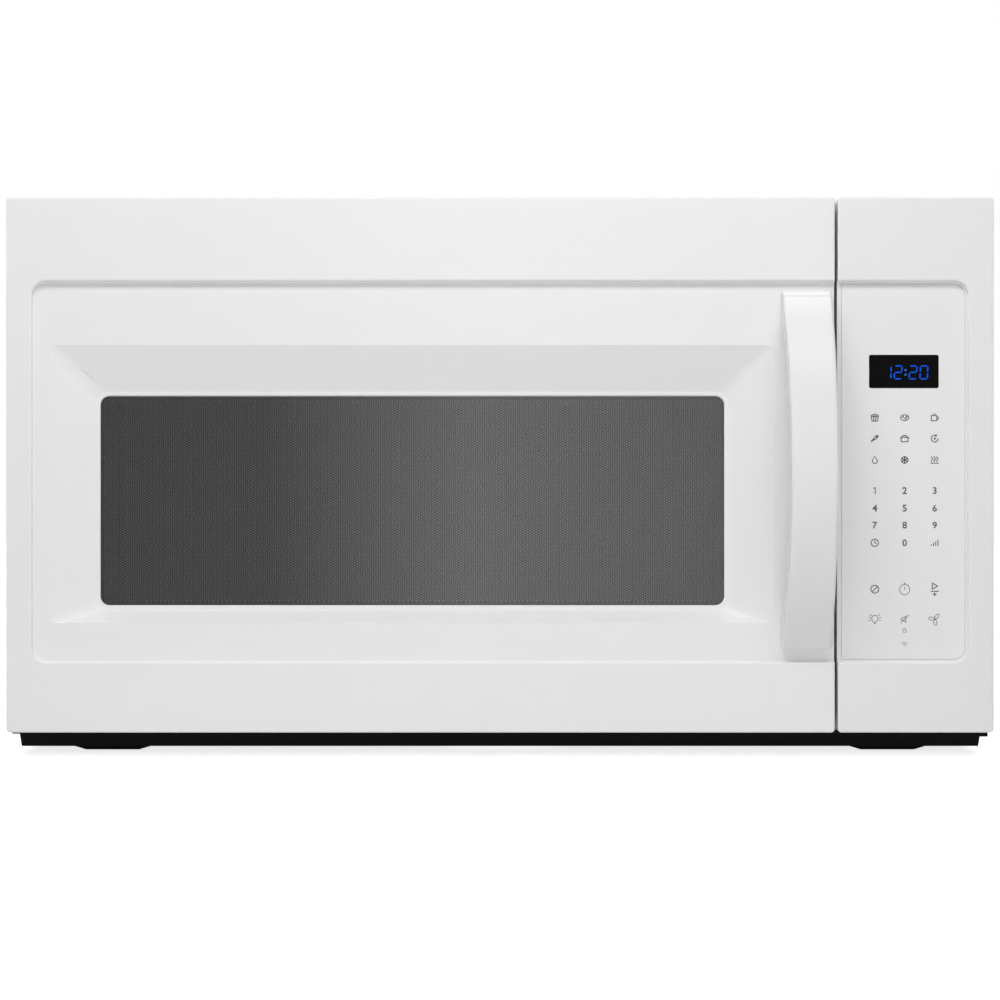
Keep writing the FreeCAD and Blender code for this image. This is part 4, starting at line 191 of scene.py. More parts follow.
def enamel(name, code, speck_code, speck_mm):
    """A smooth enamel with small darker specks: a noise read only above about two thirds."""
    material, tree, output = new_material(name)
    place = add(tree, "TexCoord").outputs["Object"]
    specks = add(tree, "TexNoise", {"Vector": place, "Scale": per(speck_mm), "Detail": 1.0})
    mask = add(tree, "MapRange", {"Value": specks.outputs["Fac"], "From Min": 0.66, "From Max": 0.70})
    colour = add(tree, "MixRGB", {"Fac": mask.outputs["Result"], "Color1": linear(code),
                                  "Color2": linear(speck_code)})
    peel = add(tree, "TexNoise", {"Vector": place, "Scale": per(3.0), "Detail": 2.0})
    relief = add(tree, "Bump", {"Height": peel.outputs["Fac"], "Distance": 0.04 * MM, "Strength": 1.0})
    principled = add(tree, "BsdfPrincipled", {"Base Color": colour.outputs["Color"], "Roughness": 0.34,
                                              "Normal": relief.outputs["Normal"]})
    tree.links.new(principled.outputs[0], output.inputs["Surface"])
    return material


def spangled(name, code, second, crystal_mm, roughness):
    """Zinc or cast metal: cells of a Voronoi pattern, each with its own shade between two greys. The coordinates
    are pushed about by a noise of one crystal's size first, so that the cells have uneven edges."""
    material, tree, output = new_material(name)
    place = add(tree, "TexCoord").outputs["Object"]
    noise = add(tree, "TexNoise", {"Vector": place, "Scale": per(crystal_mm), "Detail": 2.0})
    pushed = add(tree, "VectorMath", {0: noise.outputs["Color"], 1: (crystal_mm * MM,) * 3, 2: place},
                 operation="MULTIPLY_ADD")
    cells = add(tree, "TexVoronoi", {"Vector": pushed.outputs["Vector"], "Scale": per(crystal_mm)})
    shade = add(tree, "SeparateColor", {"Color": cells.outputs["Color"]})
    colour = add(tree, "MixRGB", {"Fac": shade.outputs["Red"], "Color1": linear(code), "Color2": linear(second)})
    polish = add(tree, "MapRange", {"Value": shade.outputs["Green"], "To Min": roughness * 0.85,
                                    "To Max": roughness * 1.15})
    principled = add(tree, "BsdfPrincipled", {"Base Color": colour.outputs["Color"], "Metallic": 1.0,
                                              "Roughness": polish.outputs["Result"]})
    tree.links.new(principled.outputs[0], output.inputs["Surface"])
    return material


CAVITY_ENAMEL = enamel("enamel_light_grey", "#C9C9C6", "#9A9A98", 1.4)
ZINC = spangled("galvanised_steel", "#A9ACAE", "#C3C6C8", 10, 0.38)
dress(COVER_PAINT, "cabinet_wrap")
dress(FRONT_PAINT, "front_plate")
dress(BASE_PAINT, "base_plate")
dress(HINGE_PAINT, "hinge_upper", "hinge_lower")
dress(PAD_RUBBER, "base_pads")
dress(CAVITY_ENAMEL, "oven_cavity")
dress(ZINC, "rear_panel", "component_shelf", "waveguide", "magnetron_yoke", "fan_bracket", "blower_bracket",
      "blower_housings")

# %% [markdown]
# ## Metals and dark plastics inside
#
# Turned and drawn metals show fine lines along the way that they were made, so the relief is stretched. The
# transformer's core is a stack of half-millimetre steel sheets, drawn here 1.5 mm apart to show, and its windings
# are lacquered copper wire.

# %% Inner parts
def striped(name, code, second, stripe_mm, axis, roughness, metallic, depth_mm):
    """Wires or sheets side by side: a wave whose crests are stripe_mm apart along one axis. The node's sine runs
    through 20 times the scaled coordinate, so the scale is 2 pi / 20 for each metre's worth of stripes."""
    material, tree, output = new_material(name)
    place = add(tree, "TexCoord").outputs["Object"]
    wave = add(tree, "TexWave", {"Vector": place, "Scale": per(stripe_mm) * math.pi / 10, "Distortion": 0.2},
               wave_type="BANDS", bands_direction=axis)
    colour = add(tree, "MixRGB", {"Fac": wave.outputs["Fac"], "Color1": linear(code), "Color2": linear(second)})
    relief = add(tree, "Bump", {"Height": wave.outputs["Fac"], "Distance": depth_mm * MM, "Strength": 1.0})
    principled = add(tree, "BsdfPrincipled", {"Base Color": colour.outputs["Color"], "Metallic": metallic,
                                              "Roughness": roughness, "Normal": relief.outputs["Normal"]})
    tree.links.new(principled.outputs[0], output.inputs["Surface"])
    return material


def expanded(name, code, second, pitch_mm, roughness, depth_mm):
    """Mesh of slit and drawn sheet: two sets of bands cross at right angles, and the higher one is the metal. Low
    places get the first, dark colour: painted shade, standing in for the shadow on the layers below."""
    material, tree, output = new_material(name)
    place = add(tree, "TexCoord").outputs["Object"]
    bands = []
    for turn in (30, -30):
        turned = add(tree, "Mapping", {"Vector": place, "Rotation": (0, 0, math.radians(turn))})
        wave = add(tree, "TexWave", {"Vector": turned.outputs["Vector"], "Scale": per(pitch_mm) * math.pi / 10,
                                     "Distortion": 0.6, "Detail Scale": 1.5}, wave_type="BANDS", bands_direction="X")
        bands.append(wave.outputs["Fac"])
    height = add(tree, "Math", {0: bands[0], 1: bands[1]}, operation="MAXIMUM").outputs[0]
    # 0 in the low places, which get painted shade, and 1 on the top strands
    strand_vs_painted_shade = add(tree, "MapRange", {"Value": height, "From Min": 0.55, "From Max": 0.85}).outputs["Result"]
    colour = add(tree, "MixRGB", {"Fac": strand_vs_painted_shade, "Color1": linear(code), "Color2": linear(second)})
    relief = add(tree, "Bump", {"Height": height, "Distance": depth_mm * MM, "Strength": 1.0})
    principled = add(tree, "BsdfPrincipled", {"Base Color": colour.outputs["Color"], "Metallic": 1.0,
                                              "Roughness": roughness, "Normal": relief.outputs["Normal"]})
    tree.links.new(principled.outputs[0], output.inputs["Surface"])
    return material


# The first colour is painted shade in the mesh's low places, the second the aluminium's own colour
FILTER_MESH = expanded("expanded_aluminium_mesh", "#4C4E50", "#D0D2D4", 4.0, 0.3, 0.8)
COPPER = striped("lacquered_copper_wire", "#7A3B1E", "#C07A4A", 1.2, "Z", 0.35, 1.0, 0.4)
CORE_STEEL = striped("laminated_steel", "#5E6062", "#85878A", 1.5, "Y", 0.45, 1.0, 0.2)
FIN_ALUMINIUM = surface("rolled_aluminium", "#C9CBCD", 0.34, "#BFC1C4", grain_mm=0.8, bump_mm=0.02,
                        stretch=(1, 0.08, 1), Metallic=1.0)
MOTOR_CAN = surface("drawn_steel_can", "#8B8E91", 0.36, "#7F8285", grain_mm=1.0, bump_mm=0.02, Metallic=1.0)
SHAFT_STEEL = surface("ground_steel", "#B9BBBD", 0.22, "#AEB0B2", grain_mm=0.5, bump_mm=0.005, Metallic=1.0)
SCREW_ZINC = surface("zinc_plated_steel", "#B4B6B8", 0.3, "#A6A8AA", grain_mm=0.8, bump_mm=0.01, Metallic=1.0)
MICA = surface("mica_sheet", "#C9BC9C", 0.5, "#AFA07C", patch_mm=14, grain_mm=3, bump_mm=0.05,
               stretch=(1, 0.3, 1))
BOARD_GREEN = surface("glass_laminate_green", "#1F5A34", 0.4, "#2B6B3F", patch_mm=5, grain_mm=1.2, bump_mm=0.05)
BLACK_PP = surface("moulded_pp_black", "#222224", 0.45, "#2A2A2C", grain_mm=1.2, bump_mm=0.03)
SWITCH_BLACK = surface("moulded_nylon_black", "#1C1C1E", 0.4, "#242426", grain_mm=1.0, bump_mm=0.02)
LAMP_WHITE = surface("moulded_phenolic_white", "#DAD9D2", 0.4, "#D2D1CA", grain_mm=1.2, bump_mm=0.02)
CARBON = surface("charcoal_granules", "#0E0E0F", 0.75, "#242426", patch_mm=2.5, grain_mm=2.0, bump_mm=0.8)
FRAME_PAINT = surface("dip_paint_dark_grey", "#2E2F30", 0.42, "#343536", grain_mm=1.5, bump_mm=0.03)
dress(COPPER, "transformer_windings")
dress(CORE_STEEL, "transformer_core")
dress(FIN_ALUMINIUM, "magnetron_fins", "hv_capacitor")
dress(FILTER_MESH, "grease_filter_left", "grease_filter_right")
dress(MOTOR_CAN, "fan_motor", "turntable_motor", "vent_motor")
dress(SHAFT_STEEL, "blower_shaft", "latch_spring")
dress(SCREW_ZINC, "handle_screws", "door_screws", "cabinet_screws", "mounting_nuts")
dress(MICA, "waveguide_cover")
dress(BOARD_GREEN, "control_board")
dress(BLACK_PP, "blower_wheels", "fan_blades", "display_module")
dress(SWITCH_BLACK, "interlock_switches", "cord_bushing")
dress(LAMP_WHITE, "cavity_lamp", "cooktop_lamp")
dress(CARBON, "charcoal_filter")
dress(FRAME_PAINT, "door_inner_frame")

# %% [markdown]
# ## Glass
#
# The door's outer glass is clear soda-lime glass, 3 mm thick. The film inside is a clear sheet, the turntable's
# tray is pressed glass, and the cooktop lamp's cover is frosted. The display's window is smoked so dark that only
# lit figures show through it.

# %% Glass
def glass(name, code, roughness, ripple_mm=0.01, **shader):
    """Clear or tinted glass with a slight waviness about 20 mm long."""
    material, tree, output = new_material(name)
    place = add(tree, "TexCoord").outputs["Object"]
    wave = add(tree, "TexNoise", {"Vector": place, "Scale": per(20), "Detail": 1.0})
    relief = add(tree, "Bump", {"Height": wave.outputs["Fac"], "Distance": ripple_mm * MM, "Strength": 1.0})
    principled = add(tree, "BsdfPrincipled", {"Base Color": linear(code), "Roughness": roughness, "IOR": 1.5,
                                              "Transmission Weight": 1.0, "Normal": relief.outputs["Normal"],
                                              **shader})
    tree.links.new(principled.outputs[0], output.inputs["Surface"])
    return material


DOOR_GLASS = glass("tinted_soda_lime_glass", "#CBCBCB", 0.02, **{"Specular IOR Level": 0.3})
FILM = glass("clear_polyester_film", "#FAFAFA", 0.08, 0.002)
TRAY_GLASS = glass("pressed_glass", "#EDF4F1", 0.03, 0.05)
FROSTED = glass("frosted_glass", "#EEF0EE", 0.45, 0.05)
SMOKED = surface("smoked_acrylic", "#050506", 0.12, "#08080A", grain_mm=5, bump_mm=0.002,
                 **{"Specular IOR Level": 0.05})
dress(DOOR_GLASS, "door_glass")
dress(FILM, "door_film")
dress(TRAY_GLASS, "glass_tray")
dress(FROSTED, "cooktop_lens")
dress(SMOKED, "display_window")

# %% [markdown]
# ## New pieces
#
# A new piece is a mesh whose points numpy works out all at once. Its object sits at the origin and its place is in
# its points, as with the CAD nodes, and it rides on the body that carries it.

# %% Mesh helper
def piece(name, points, faces, material, body, replaces=(), smooth=False):
    """A mesh from an array of points in metres and a list of faces, riding on a body. smooth may be True for all
    faces, or a number: that many of the first faces are smooth and the rest flat."""
    mesh = bpy.data.meshes.new(name)
    mesh.from_pydata(np.asarray(points, float).tolist(), [], [list(map(int, face)) for face in faces])
    count = len(faces) if smooth is True else int(smooth)
    mesh.polygons.foreach_set("use_smooth", np.arange(len(faces)) < count)
    mesh.materials.append(material)
    mesh.update()
    obj = bpy.data.objects.new(name, mesh)
    bpy.context.scene.collection.objects.link(obj)
    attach(obj, body)
    if replaces:
        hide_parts(*replaces)
    print(name, "rides on", body, "with", sum(len(face) - 2 for face in faces), "triangles")
    return obj


def span(name):
    """The lowest and highest corner of a CAD node, in millimetres."""
    return [np.array(corner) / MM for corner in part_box(name)]


# %% [markdown]
# ## The handle
#
# The handle is one bowed bar with a foot at each end and a thin end cap, which shows as a fine line across it. A
# subdivided box could be bent into that, but its rounded edges would stretch along the bow. Here the bar is a stack
# of level slices instead. Each slice is a rectangle with round corners, and its front and back come from two
# arcs of a circle, so the edge radius is the same all along and the highlights on the two long edges stay thin.

# %% Bowed handle
def bow(z, middle, half_chord, tip, sagitta):
    """Height of a circle's arc over its chord, plus the tip: with radius R = (half chord squared + sagitta squared)
    / twice the sagitta, it is tip + sagitta - R + the root of R squared minus (z - middle) squared."""
    radius = (half_chord ** 2 + sagitta ** 2) / (2 * sagitta)
    return tip + sagitta - radius + np.sqrt(np.maximum(radius ** 2 - (z - middle) ** 2, 0))


def handle_surface(low, high, tip, foot, middle_thickness, waist, edge, end_round, cap_line):
    """Slices at z, each a rounded rectangle between x = middle - w / 2 and middle + w / 2 and between the back and
    the front arc. Near the ends the slice shrinks by end_round minus the root of end_round squared minus
    (end_round - d) squared, d being the distance from the end. At the cap line it shrinks by a shallow V."""
    near_end = np.concatenate([end_round * (1 - np.cos(np.linspace(0, math.pi / 2, 7))), [2.2, 3.4],
                               cap_line + np.array([-0.4, -0.2, 0, 0.2, 0.4])])
    z = np.concatenate([low[2] + near_end, np.linspace(low[2] + cap_line + 1.4, high[2] - cap_line - 1.4, 121),
                        (high[2] - near_end)[::-1]])
    middle, half = (low[2] + high[2]) / 2, (high[2] - low[2]) / 2
    floor, face = -high[1], -low[1]
    front = bow(z, middle, half, floor + tip, face - floor - tip)
    back = np.maximum(bow(z, middle, half - foot, floor, face - middle_thickness - floor), floor)
    back = np.where(np.abs(z - middle) < half - foot, back, floor)
    gap = np.minimum(z - low[2], high[2] - z)
    shrink = end_round - np.sqrt(end_round ** 2 - np.maximum(end_round - gap, 0) ** 2)
    shrink = shrink + 0.3 * np.maximum(1 - np.abs(gap - cap_line) / 0.3, 0)
    width = (high[0] - low[0]) / 2 - waist * (1 - ((z - middle) / half) ** 2) - shrink
    front = front - shrink
    corner = np.linspace(0, math.pi / 2, 7)
    lead = 0.5                    # an extra point beside each corner keeps the broad faces flat when smoothed
    side_in = np.concatenate([[0], edge * (1 - np.cos(corner)), [edge + lead]])
    depth_in = np.concatenate([[edge + lead], edge * (1 - np.sin(corner)), [0]])
    inset_x = np.concatenate([side_in, side_in[::-1]] * 2)
    inset_f = np.concatenate([depth_in, depth_in[::-1]] * 2)
    across, is_front = np.repeat([1, -1, -1, 1], 9), np.repeat([False, False, True, True], 9)
    x = (low[0] + high[0]) / 2 + across * (width[:, None] - inset_x)
    forward = np.where(is_front, front[:, None] - inset_f, back[:, None] + inset_f)
    points = np.stack([x, -forward, np.broadcast_to(z[:, None], x.shape)], axis=-1)
    rows, around = x.shape
    row, col = np.meshgrid(np.arange(rows - 1), np.arange(around), indexing="ij")
    nxt = (col + 1) % around
    sides = np.stack([row * around + col, row * around + nxt, (row + 1) * around + nxt, (row + 1) * around + col],
                     axis=-1).reshape(-1, 4)
    caps = [list(range(around))[::-1], [(rows - 1) * around + k for k in range(around)]]
    return points.reshape(-1, 3) * MM, sides.tolist() + caps, len(sides)


points, faces, smooth = handle_surface(*span("handle"), tip=9, foot=26, middle_thickness=16, waist=1.5, edge=2.6,
                                       end_round=1.2, cap_line=4.8)
# The handle's material is a darker copy of the white ABS: painted shade.
piece("handle_bar", points, faces, HANDLE_ABS_PAINTED_SHADE, "door", ["handle"], smooth)

# %% [markdown]
# ## The latch's spring
#
# Pressing the hooks up presses a small coil spring together against the door's frame. A modelled coil would stay
# long and run into the hooks. It is a round wire carried along a helix, with its first and last turn nearly flat as
# on a wound spring.

# %% Coil spring
def coil(centre, radius, wire, low, high, turns, around=10):
    """Wire along a helix: at angle a the middle is (x + r cos a, y + r sin a), and its height runs from low to high
    with one wire thickness for each end turn. The ring round it is w (cos b N + sin b B), N pointing away from the
    spring's axis and B being the direction of travel times N."""
    turn = np.linspace(0, turns, int(turns * 24) + 1)
    a = 2 * math.pi * turn
    height = np.interp(turn, [0, 1, turns - 1, turns], [low + wire, low + 3 * wire, high - 3 * wire, high - wire])
    middle = np.column_stack([centre[0] + radius * np.cos(a), centre[1] + radius * np.sin(a), height])
    travel = np.gradient(middle, axis=0)
    travel /= np.linalg.norm(travel, axis=1, keepdims=True)
    outward = np.column_stack([np.cos(a), np.sin(a), np.zeros_like(a)])
    upward = np.cross(travel, outward)
    b = 2 * math.pi * np.arange(around) / around
    points = middle[:, None] + wire * (np.cos(b)[:, None] * outward[:, None] + np.sin(b)[:, None] * upward[:, None])
    row, col = np.meshgrid(np.arange(len(a) - 1), np.arange(around), indexing="ij")
    nxt = (col + 1) % around
    quads = np.stack([row * around + nxt, row * around + col, (row + 1) * around + col, (row + 1) * around + nxt],
                     axis=-1).reshape(-1, 4)
    ends = [list(range(around)), [(len(a) - 1) * around + k for k in range(around)][::-1]]
    return points.reshape(-1, 3) * MM, quads.tolist() + ends, len(quads)


low, high = span("latch_spring")
WIRE = 0.45                       # mm, half the wire's thickness
points, faces, smooth = coil((low + high) / 2, (high[0] - low[0]) / 2 - WIRE, WIRE, low[2], high[2], 6.5)
SPRING = piece("latch_spring_coil", points, faces, SHAFT_STEEL, "door", ["latch_spring"], smooth)
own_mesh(SPRING)

# %% [markdown]
# ## The door's perforated screen
#
# A microwave's window has a steel sheet behind the glass, with thousands of round holes that are too small for the
# waves. Here they stand 1.99 mm apart in upright rows, every second row shifted by half of that. A texture with
# transparent dots would do from afar, but real holes let the light in and stay sharp in the mesh itself. Each hole
# is a hexagon with its sides towards its six neighbours. What is left between holes is a strip of two triangles
# for each pair of neighbours and one small triangle where three holes meet, eight triangles a hole in all. The
# outermost holes are closed, and a plain border joins on.

# %% Perforated screen
SCREEN_PAINT = surface("dip_paint_screen", "#3A3A3B", 0.5, "#3E3E3F", grain_mm=0.8, bump_mm=0.02)
HOLE_PITCH = 1.99                 # mm, up and down
HOLE_ACROSS = 1.30                # mm, between two flat sides
SCREEN_MARGIN = 2.2               # mm of plain sheet between the holes and the window's edge
GLASS_OVERLAP = 0.008             # metres of glass behind the moulding, past the window's edge
BORDER_TUCK = 1.3                 # mm that the plain border reaches in over the closed outermost holes


def honeycomb(x_span, z_span, y, pitch, across):
    """A lattice of hexagonal holes. Hole (i, j) is centred at x = i * pitch * cos 30, z = (j + (i odd)/2) * pitch,
    and its corner k lies at 60 k degrees from the x axis, at a radius of across / sqrt 3. The outermost holes are
    closed, as the sheet's plain border."""
    step = pitch * math.cos(math.radians(30))
    columns = int((x_span[1] - x_span[0]) // step)
    rows = int((z_span[1] - z_span[0]) // pitch)
    i, j = np.meshgrid(np.arange(columns), np.arange(rows), indexing="ij")
    left = (x_span[0] + x_span[1] - (columns - 1) * step) / 2
    low = (z_span[0] + z_span[1] - (rows - 0.5) * pitch) / 2
    x = left + i * step
    z = low + (j + 0.5 * (i % 2)) * pitch
    angle = np.radians(60 * np.arange(6))
    radius = across / math.sqrt(3)
    points = np.stack([x[..., None] + radius * np.cos(angle), np.full((columns, rows, 6), y),
                       z[..., None] + radius * np.sin(angle)], axis=-1)
    number = i * rows + j
    corner = lambda hole, k: hole * 6 + k
    rim = number[(i == 0) | (i == columns - 1) | (j == 0) | (j == rows - 1)]
    faces = [rim[:, None] * 6 + np.arange(6)]
    # Up and down: hole (i, j) and (i, j + 1) face each other with corners 1, 2 and 5, 4
    a, b = number[:, :-1].ravel(), number[:, 1:].ravel()
    faces.append(np.stack([corner(a, 2), corner(a, 1), corner(b, 5), corner(b, 4)], axis=-1))
    # To the right: the upper right and the lower right neighbour
    up = j[:-1] + i[:-1] % 2
    down = up - 1
    this, above, below = number[:-1], number[1:, :1] + up, number[1:, :1] + down
    fine = up < rows
    a, b = this[fine], above[fine]
    faces.append(np.stack([corner(a, 1), corner(a, 0), corner(b, 4), corner(b, 3)], axis=-1))
    fine = down >= 0
    a, b = this[fine], below[fine]
    faces.append(np.stack([corner(a, 0), corner(a, 5), corner(b, 3), corner(b, 2)], axis=-1))
    # Where three holes meet: one with two to its right, and two with one to their right
    fine = (up < rows) & (down >= 0)
    a, b, c = this[fine], above[fine], below[fine]
    faces.append(np.stack([corner(a, 0), corner(c, 2), corner(b, 4)], axis=-1))
    fine = up[:, :-1] < rows
    a, b, c = this[:, :-1][fine], this[:, 1:][fine], above[:, :-1][fine]
    faces.append(np.stack([corner(a, 1), corner(c, 3), corner(b, 5)], axis=-1))
    return points.reshape(-1, 3) * MM, [face for group in faces for face in group.tolist()], columns * rows


glass_low, glass_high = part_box("door_glass")
screen_low, screen_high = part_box("door_screen")
window_x = ((glass_low.x + GLASS_OVERLAP) / MM, (glass_high.x - GLASS_OVERLAP) / MM)
window_z = ((glass_low.z + GLASS_OVERLAP) / MM, (glass_high.z - GLASS_OVERLAP) / MM)
hole_x = (window_x[0] + SCREEN_MARGIN - HOLE_PITCH, window_x[1] - SCREEN_MARGIN + HOLE_PITCH)
hole_z = (window_z[0] + SCREEN_MARGIN - HOLE_PITCH, window_z[1] - SCREEN_MARGIN + HOLE_PITCH)
screen_y = screen_low.y / MM + 0.1
points, faces, holes = honeycomb(hole_x, hole_z, screen_y, HOLE_PITCH, HOLE_ACROSS)
left, right = hole_x[0] + BORDER_TUCK, hole_x[1] - BORDER_TUCK
bottom, top = hole_z[0] + BORDER_TUCK, hole_z[1] - BORDER_TUCK
inner = [(left, bottom), (right, bottom), (right, top), (left, top)]
outer = [(x / MM, z / MM) for x, z in ((screen_low.x, screen_low.z), (screen_high.x, screen_low.z),
                                       (screen_high.x, screen_high.z), (screen_low.x, screen_high.z))]
start = len(points)
points = np.concatenate([points, np.array([(x, screen_y + 0.05, z) for x, z in outer + inner]) * MM])
faces += [[start + k, start + (k + 1) % 4, start + 4 + (k + 1) % 4, start + 4 + k] for k in range(4)]
piece("door_screen_mesh", points, faces, SCREEN_PAINT, "door", ["door_screen"])
print("screen:", holes, "places in the lattice, of which the outermost are closed")

# %% [markdown]
# ## Marks on the keypad
#
# The film over the keys is printed in dark grey: ten numerals, and small pictures for the other keys. Numerals are
# text objects made into meshes, but for the 1, which this font draws without a flag. The 1 and the pictures are
# drawn with a pen instead: a path of points gets a left and a right border at half the pen's width, and the two
# borders make a ribbon. All marks lie 0.05 mm in front of the film.

# %% Printing ink
INK = surface("screen_printed_ink", "#4A4A4B", 0.45, "#565657", patch_mm=3, grain_mm=0.4, bump_mm=0.002)
PALE_INK = surface("screen_printed_ink_pale", "#A0A0A1", 0.45, "#A8A8A9", patch_mm=3, grain_mm=0.4, bump_mm=0.002)
PRINT_PROUD = 0.05                            # mm in front of the film
PRINT_Y = span("keypad_overlay")[0][1] - PRINT_PROUD
KEY_X = [289.1, 312.1, 335.3]                 # middle of the three columns of keys, mm


def flat(points_xz):
    """Points (x, z) in millimetres on the film, as points in metres in front of it."""
    points_xz = np.asarray(points_xz, float)
    return np.column_stack([points_xz[:, 0], np.full(len(points_xz), PRINT_Y), points_xz[:, 1]]) * MM


# %% Numerals
def numerals(texts, height):
    """Meshes of the built-in font: its text lies in the xy plane, so x stays x and y becomes z. Each text is scaled
    to its height and centred on its place."""
    points, faces = [], []
    for text, x, z in texts:
        curve = bpy.data.curves.new("numeral", "FONT")
        curve.body, curve.resolution_u, curve.offset = text, 4, 0.026
        holder = bpy.data.objects.new("numeral", curve)
        mesh = bpy.data.meshes.new_from_object(holder)
        flat_points = np.empty(len(mesh.vertices) * 3)
        mesh.vertices.foreach_get("co", flat_points)
        xy = flat_points.reshape(-1, 3)[:, :2]
        low, high = xy.min(axis=0), xy.max(axis=0)
        xy = (xy - (low + high) / 2) * height / (high[1] - low[1]) + (x, z)
        start = sum(map(len, points))
        faces += [[start + corner for corner in face.vertices] for face in mesh.polygons]
        points.append(xy)
        bpy.data.objects.remove(holder)
    return np.concatenate(points), faces


DIGIT_ROWS = [177.3, 163.7, 150.6]            # z of the rows 1 2 3, 4 5 6 and 7 8 9
digit_places = [(str(3 * row + column + 1), KEY_X[column], z) for row, z in enumerate(DIGIT_ROWS)
                for column in range(3) if row + column] + [("0", KEY_X[1], 137.0)]
points, faces = numerals(digit_places, 5.4)
piece("keypad_numerals", flat(points), faces, INK, "cabinet")


# %% A pen for small pictures
def arc(x, z, radius, start=0, end=360, squeeze=1.0, steps=24):
    """Points on a circle round (x, z) from one angle to another, in degrees, its height times squeeze."""
    angle = np.radians(np.linspace(start, end, steps + 1))
    return np.column_stack([x + radius * np.cos(angle), z + radius * squeeze * np.sin(angle)])


def ribbon(path, width):
    """Both borders of a path: each point plus and minus half a width times the direction there turned left. The
    direction is the path's gradient made one long, and at a closed path's end it is the mean of both ends."""
    path = np.asarray(path, float)
    along = np.gradient(path, axis=0)
    if np.allclose(path[0], path[-1]):
        along[0] = along[-1] = path[1] - path[-2]
    along /= np.maximum(np.linalg.norm(along, axis=1, keepdims=True), 1e-9)
    left = np.column_stack([-along[:, 1], along[:, 0]]) * width / 2
    count = len(path)
    k = np.arange(count - 1)
    return (np.concatenate([path + left, path - left]),
            np.column_stack([k, k + count, k + count + 1, k + 1]))


def drawing(pictures, width):
    """All ribbons of a list of (x, z, paths), in one mesh. A path is placed by its picture's x and z."""
    points, faces, start = [], [], 0
    for x, z, paths in pictures:
        for path in paths:
            xz, quads = ribbon(np.asarray(path, float) + (x, z), width)
            points.append(xz)
            faces += (quads + start).tolist()
            start += len(xz)
    return np.concatenate(points), faces


def line(*corners):
    """A path through corners, with four points on every stretch, so that a ribbon's corners stay sharp."""
    corners = np.asarray(corners, float)
    steps = np.array([0, 0.04, 0.5, 0.96])
    runs = [start + (end - start) * steps[:, None] for start, end in zip(corners, corners[1:])]
    return np.concatenate(runs + [corners[-1:]])


# %% Pictures of the food keys
TUB = [line((-2.1, -2.6), (2.1, -2.6), (2.7, 0.8), (-2.7, 0.8), (-2.1, -2.6)), line((-0.7, -2.4), (-0.9, 0.7)),
       line((0.7, -2.4), (0.9, 0.7)), arc(-1.7, 1.0, 1.1, 0, 180), arc(0, 1.5, 1.2, 10, 170),
       arc(1.7, 1.0, 1.1, 0, 180)]
TUBER = [arc(0, 0, 3.2, squeeze=0.68), arc(-1.2, 0.5, 0.35), arc(0.6, -0.6, 0.35), arc(1.5, 0.6, 0.35)]
MUG = [line((-2.6, 1.6), (-2.6, -2.4), (1.6, -2.4), (1.6, 1.6), (-2.6, 1.6)), arc(1.6, -0.3, 1.2, -80, 80),
       line((-1.4, 2.3), (-1.0, 3.2)), line((0.2, 2.3), (0.6, 3.2))]
CARROT = [line((-3.0, -2.4), (0.6, 1.8), (2.0, 0.4), (-3.0, -2.4)), line((1.4, 1.3), (3.0, 1.6)),
          line((1.4, 1.3), (2.5, 2.6)), line((1.4, 1.3), (1.4, 3.0)), line((-0.6, -0.2), (0.3, -0.9))]
POT = [line((-2.6, 0.9), (-2.6, -2.4), (2.6, -2.4), (2.6, 0.9), (-2.6, 0.9)), line((-3.6, 0.3), (-2.6, 0.3)),
       line((2.6, 0.3), (3.6, 0.3)), arc(0, 0.9, 2.3, 0, 180, squeeze=0.6), line((-0.4, 2.6), (0.4, 2.6))]
AGAIN = [arc(0, 0, 2.6, 60, 360), line((1.0, 3.2), (1.4, 2.2), (0.4, 1.7)), arc(0, 0, 0.5)]
DROP = [np.concatenate([arc(0, -0.8, 1.9, 150, 390), [[0, 3.0]], arc(0, -0.8, 1.9, 150, 151, steps=1)[:1]])]
FLAKE = [path for turn in (0, 60, 120) for path in (
    line(*[(r * math.cos(math.radians(turn + 90)), r * math.sin(math.radians(turn + 90))) for r in (-3.0, 3.0)]),
    line(*[(r * math.cos(math.radians(turn + a)), r * math.sin(math.radians(turn + a)))
           for r, a in ((2.9, 68), (1.7, 90), (2.9, 112))]),
    line(*[(-r * math.cos(math.radians(turn + a)), -r * math.sin(math.radians(turn + a)))
           for r, a in ((2.9, 68), (1.7, 90), (2.9, 112))]))]
height = np.linspace(-1.4, 2.8, 13)
WARMTH = [np.column_stack([x + 0.5 * np.sin(height * 2.2), height]) for x in (-2.0, 0.0, 2.0)]
WARMTH += [line((-3.2, -2.5), (3.2, -2.5))]

# %% Pictures of the other keys
CLOCK = [arc(0, 0, 2.8), line((0, 1.8), (0, 0), (1.3, -0.7))]
LEVEL = [line((x, -2.4), (x, top)) for x, top in ((-2.6, -1.2), (-0.9, 0.0), (0.8, 1.2), (2.5, 2.4))]
STOP = [arc(0, 0, 3.0), line((-2.1, -2.1), (2.1, 2.1))]
WATCH = [arc(0, -0.4, 3.9, steps=36), line((-0.8, 4.2), (0.8, 4.2)), line((-0.5, 4.5), (0.5, 4.5)),
         line((2.6, 2.8), (3.3, 3.5)), line((0, -0.4), (0, 2.0))]
GO = [line((-1.9, -0.1), (2.3, 2.3), (-1.9, 4.7), (-1.9, -0.1)), line((-3.2, -1.6), (3.2, -1.6)),
      line((-1.4, -3.9), (1.4, -3.9)), line((0, -5.3), (0, -2.5))]
ONE = [line((-1.2, 1.5), (0.3, 2.4), (0.3, -2.7))]
rays = [(math.cos(math.radians(a)), math.sin(math.radians(a))) for a in (-20, 10, 40, 140, 170, 200)]
BULB = [np.concatenate([arc(0, 0.5, 2.4, -50, 230), [[-1.0, -2.3]]]), line((1.5, -1.3), (1.0, -2.3)),
        line((-0.9, -2.7), (0.9, -2.7)), line((-0.7, -3.2), (0.7, -3.2))]
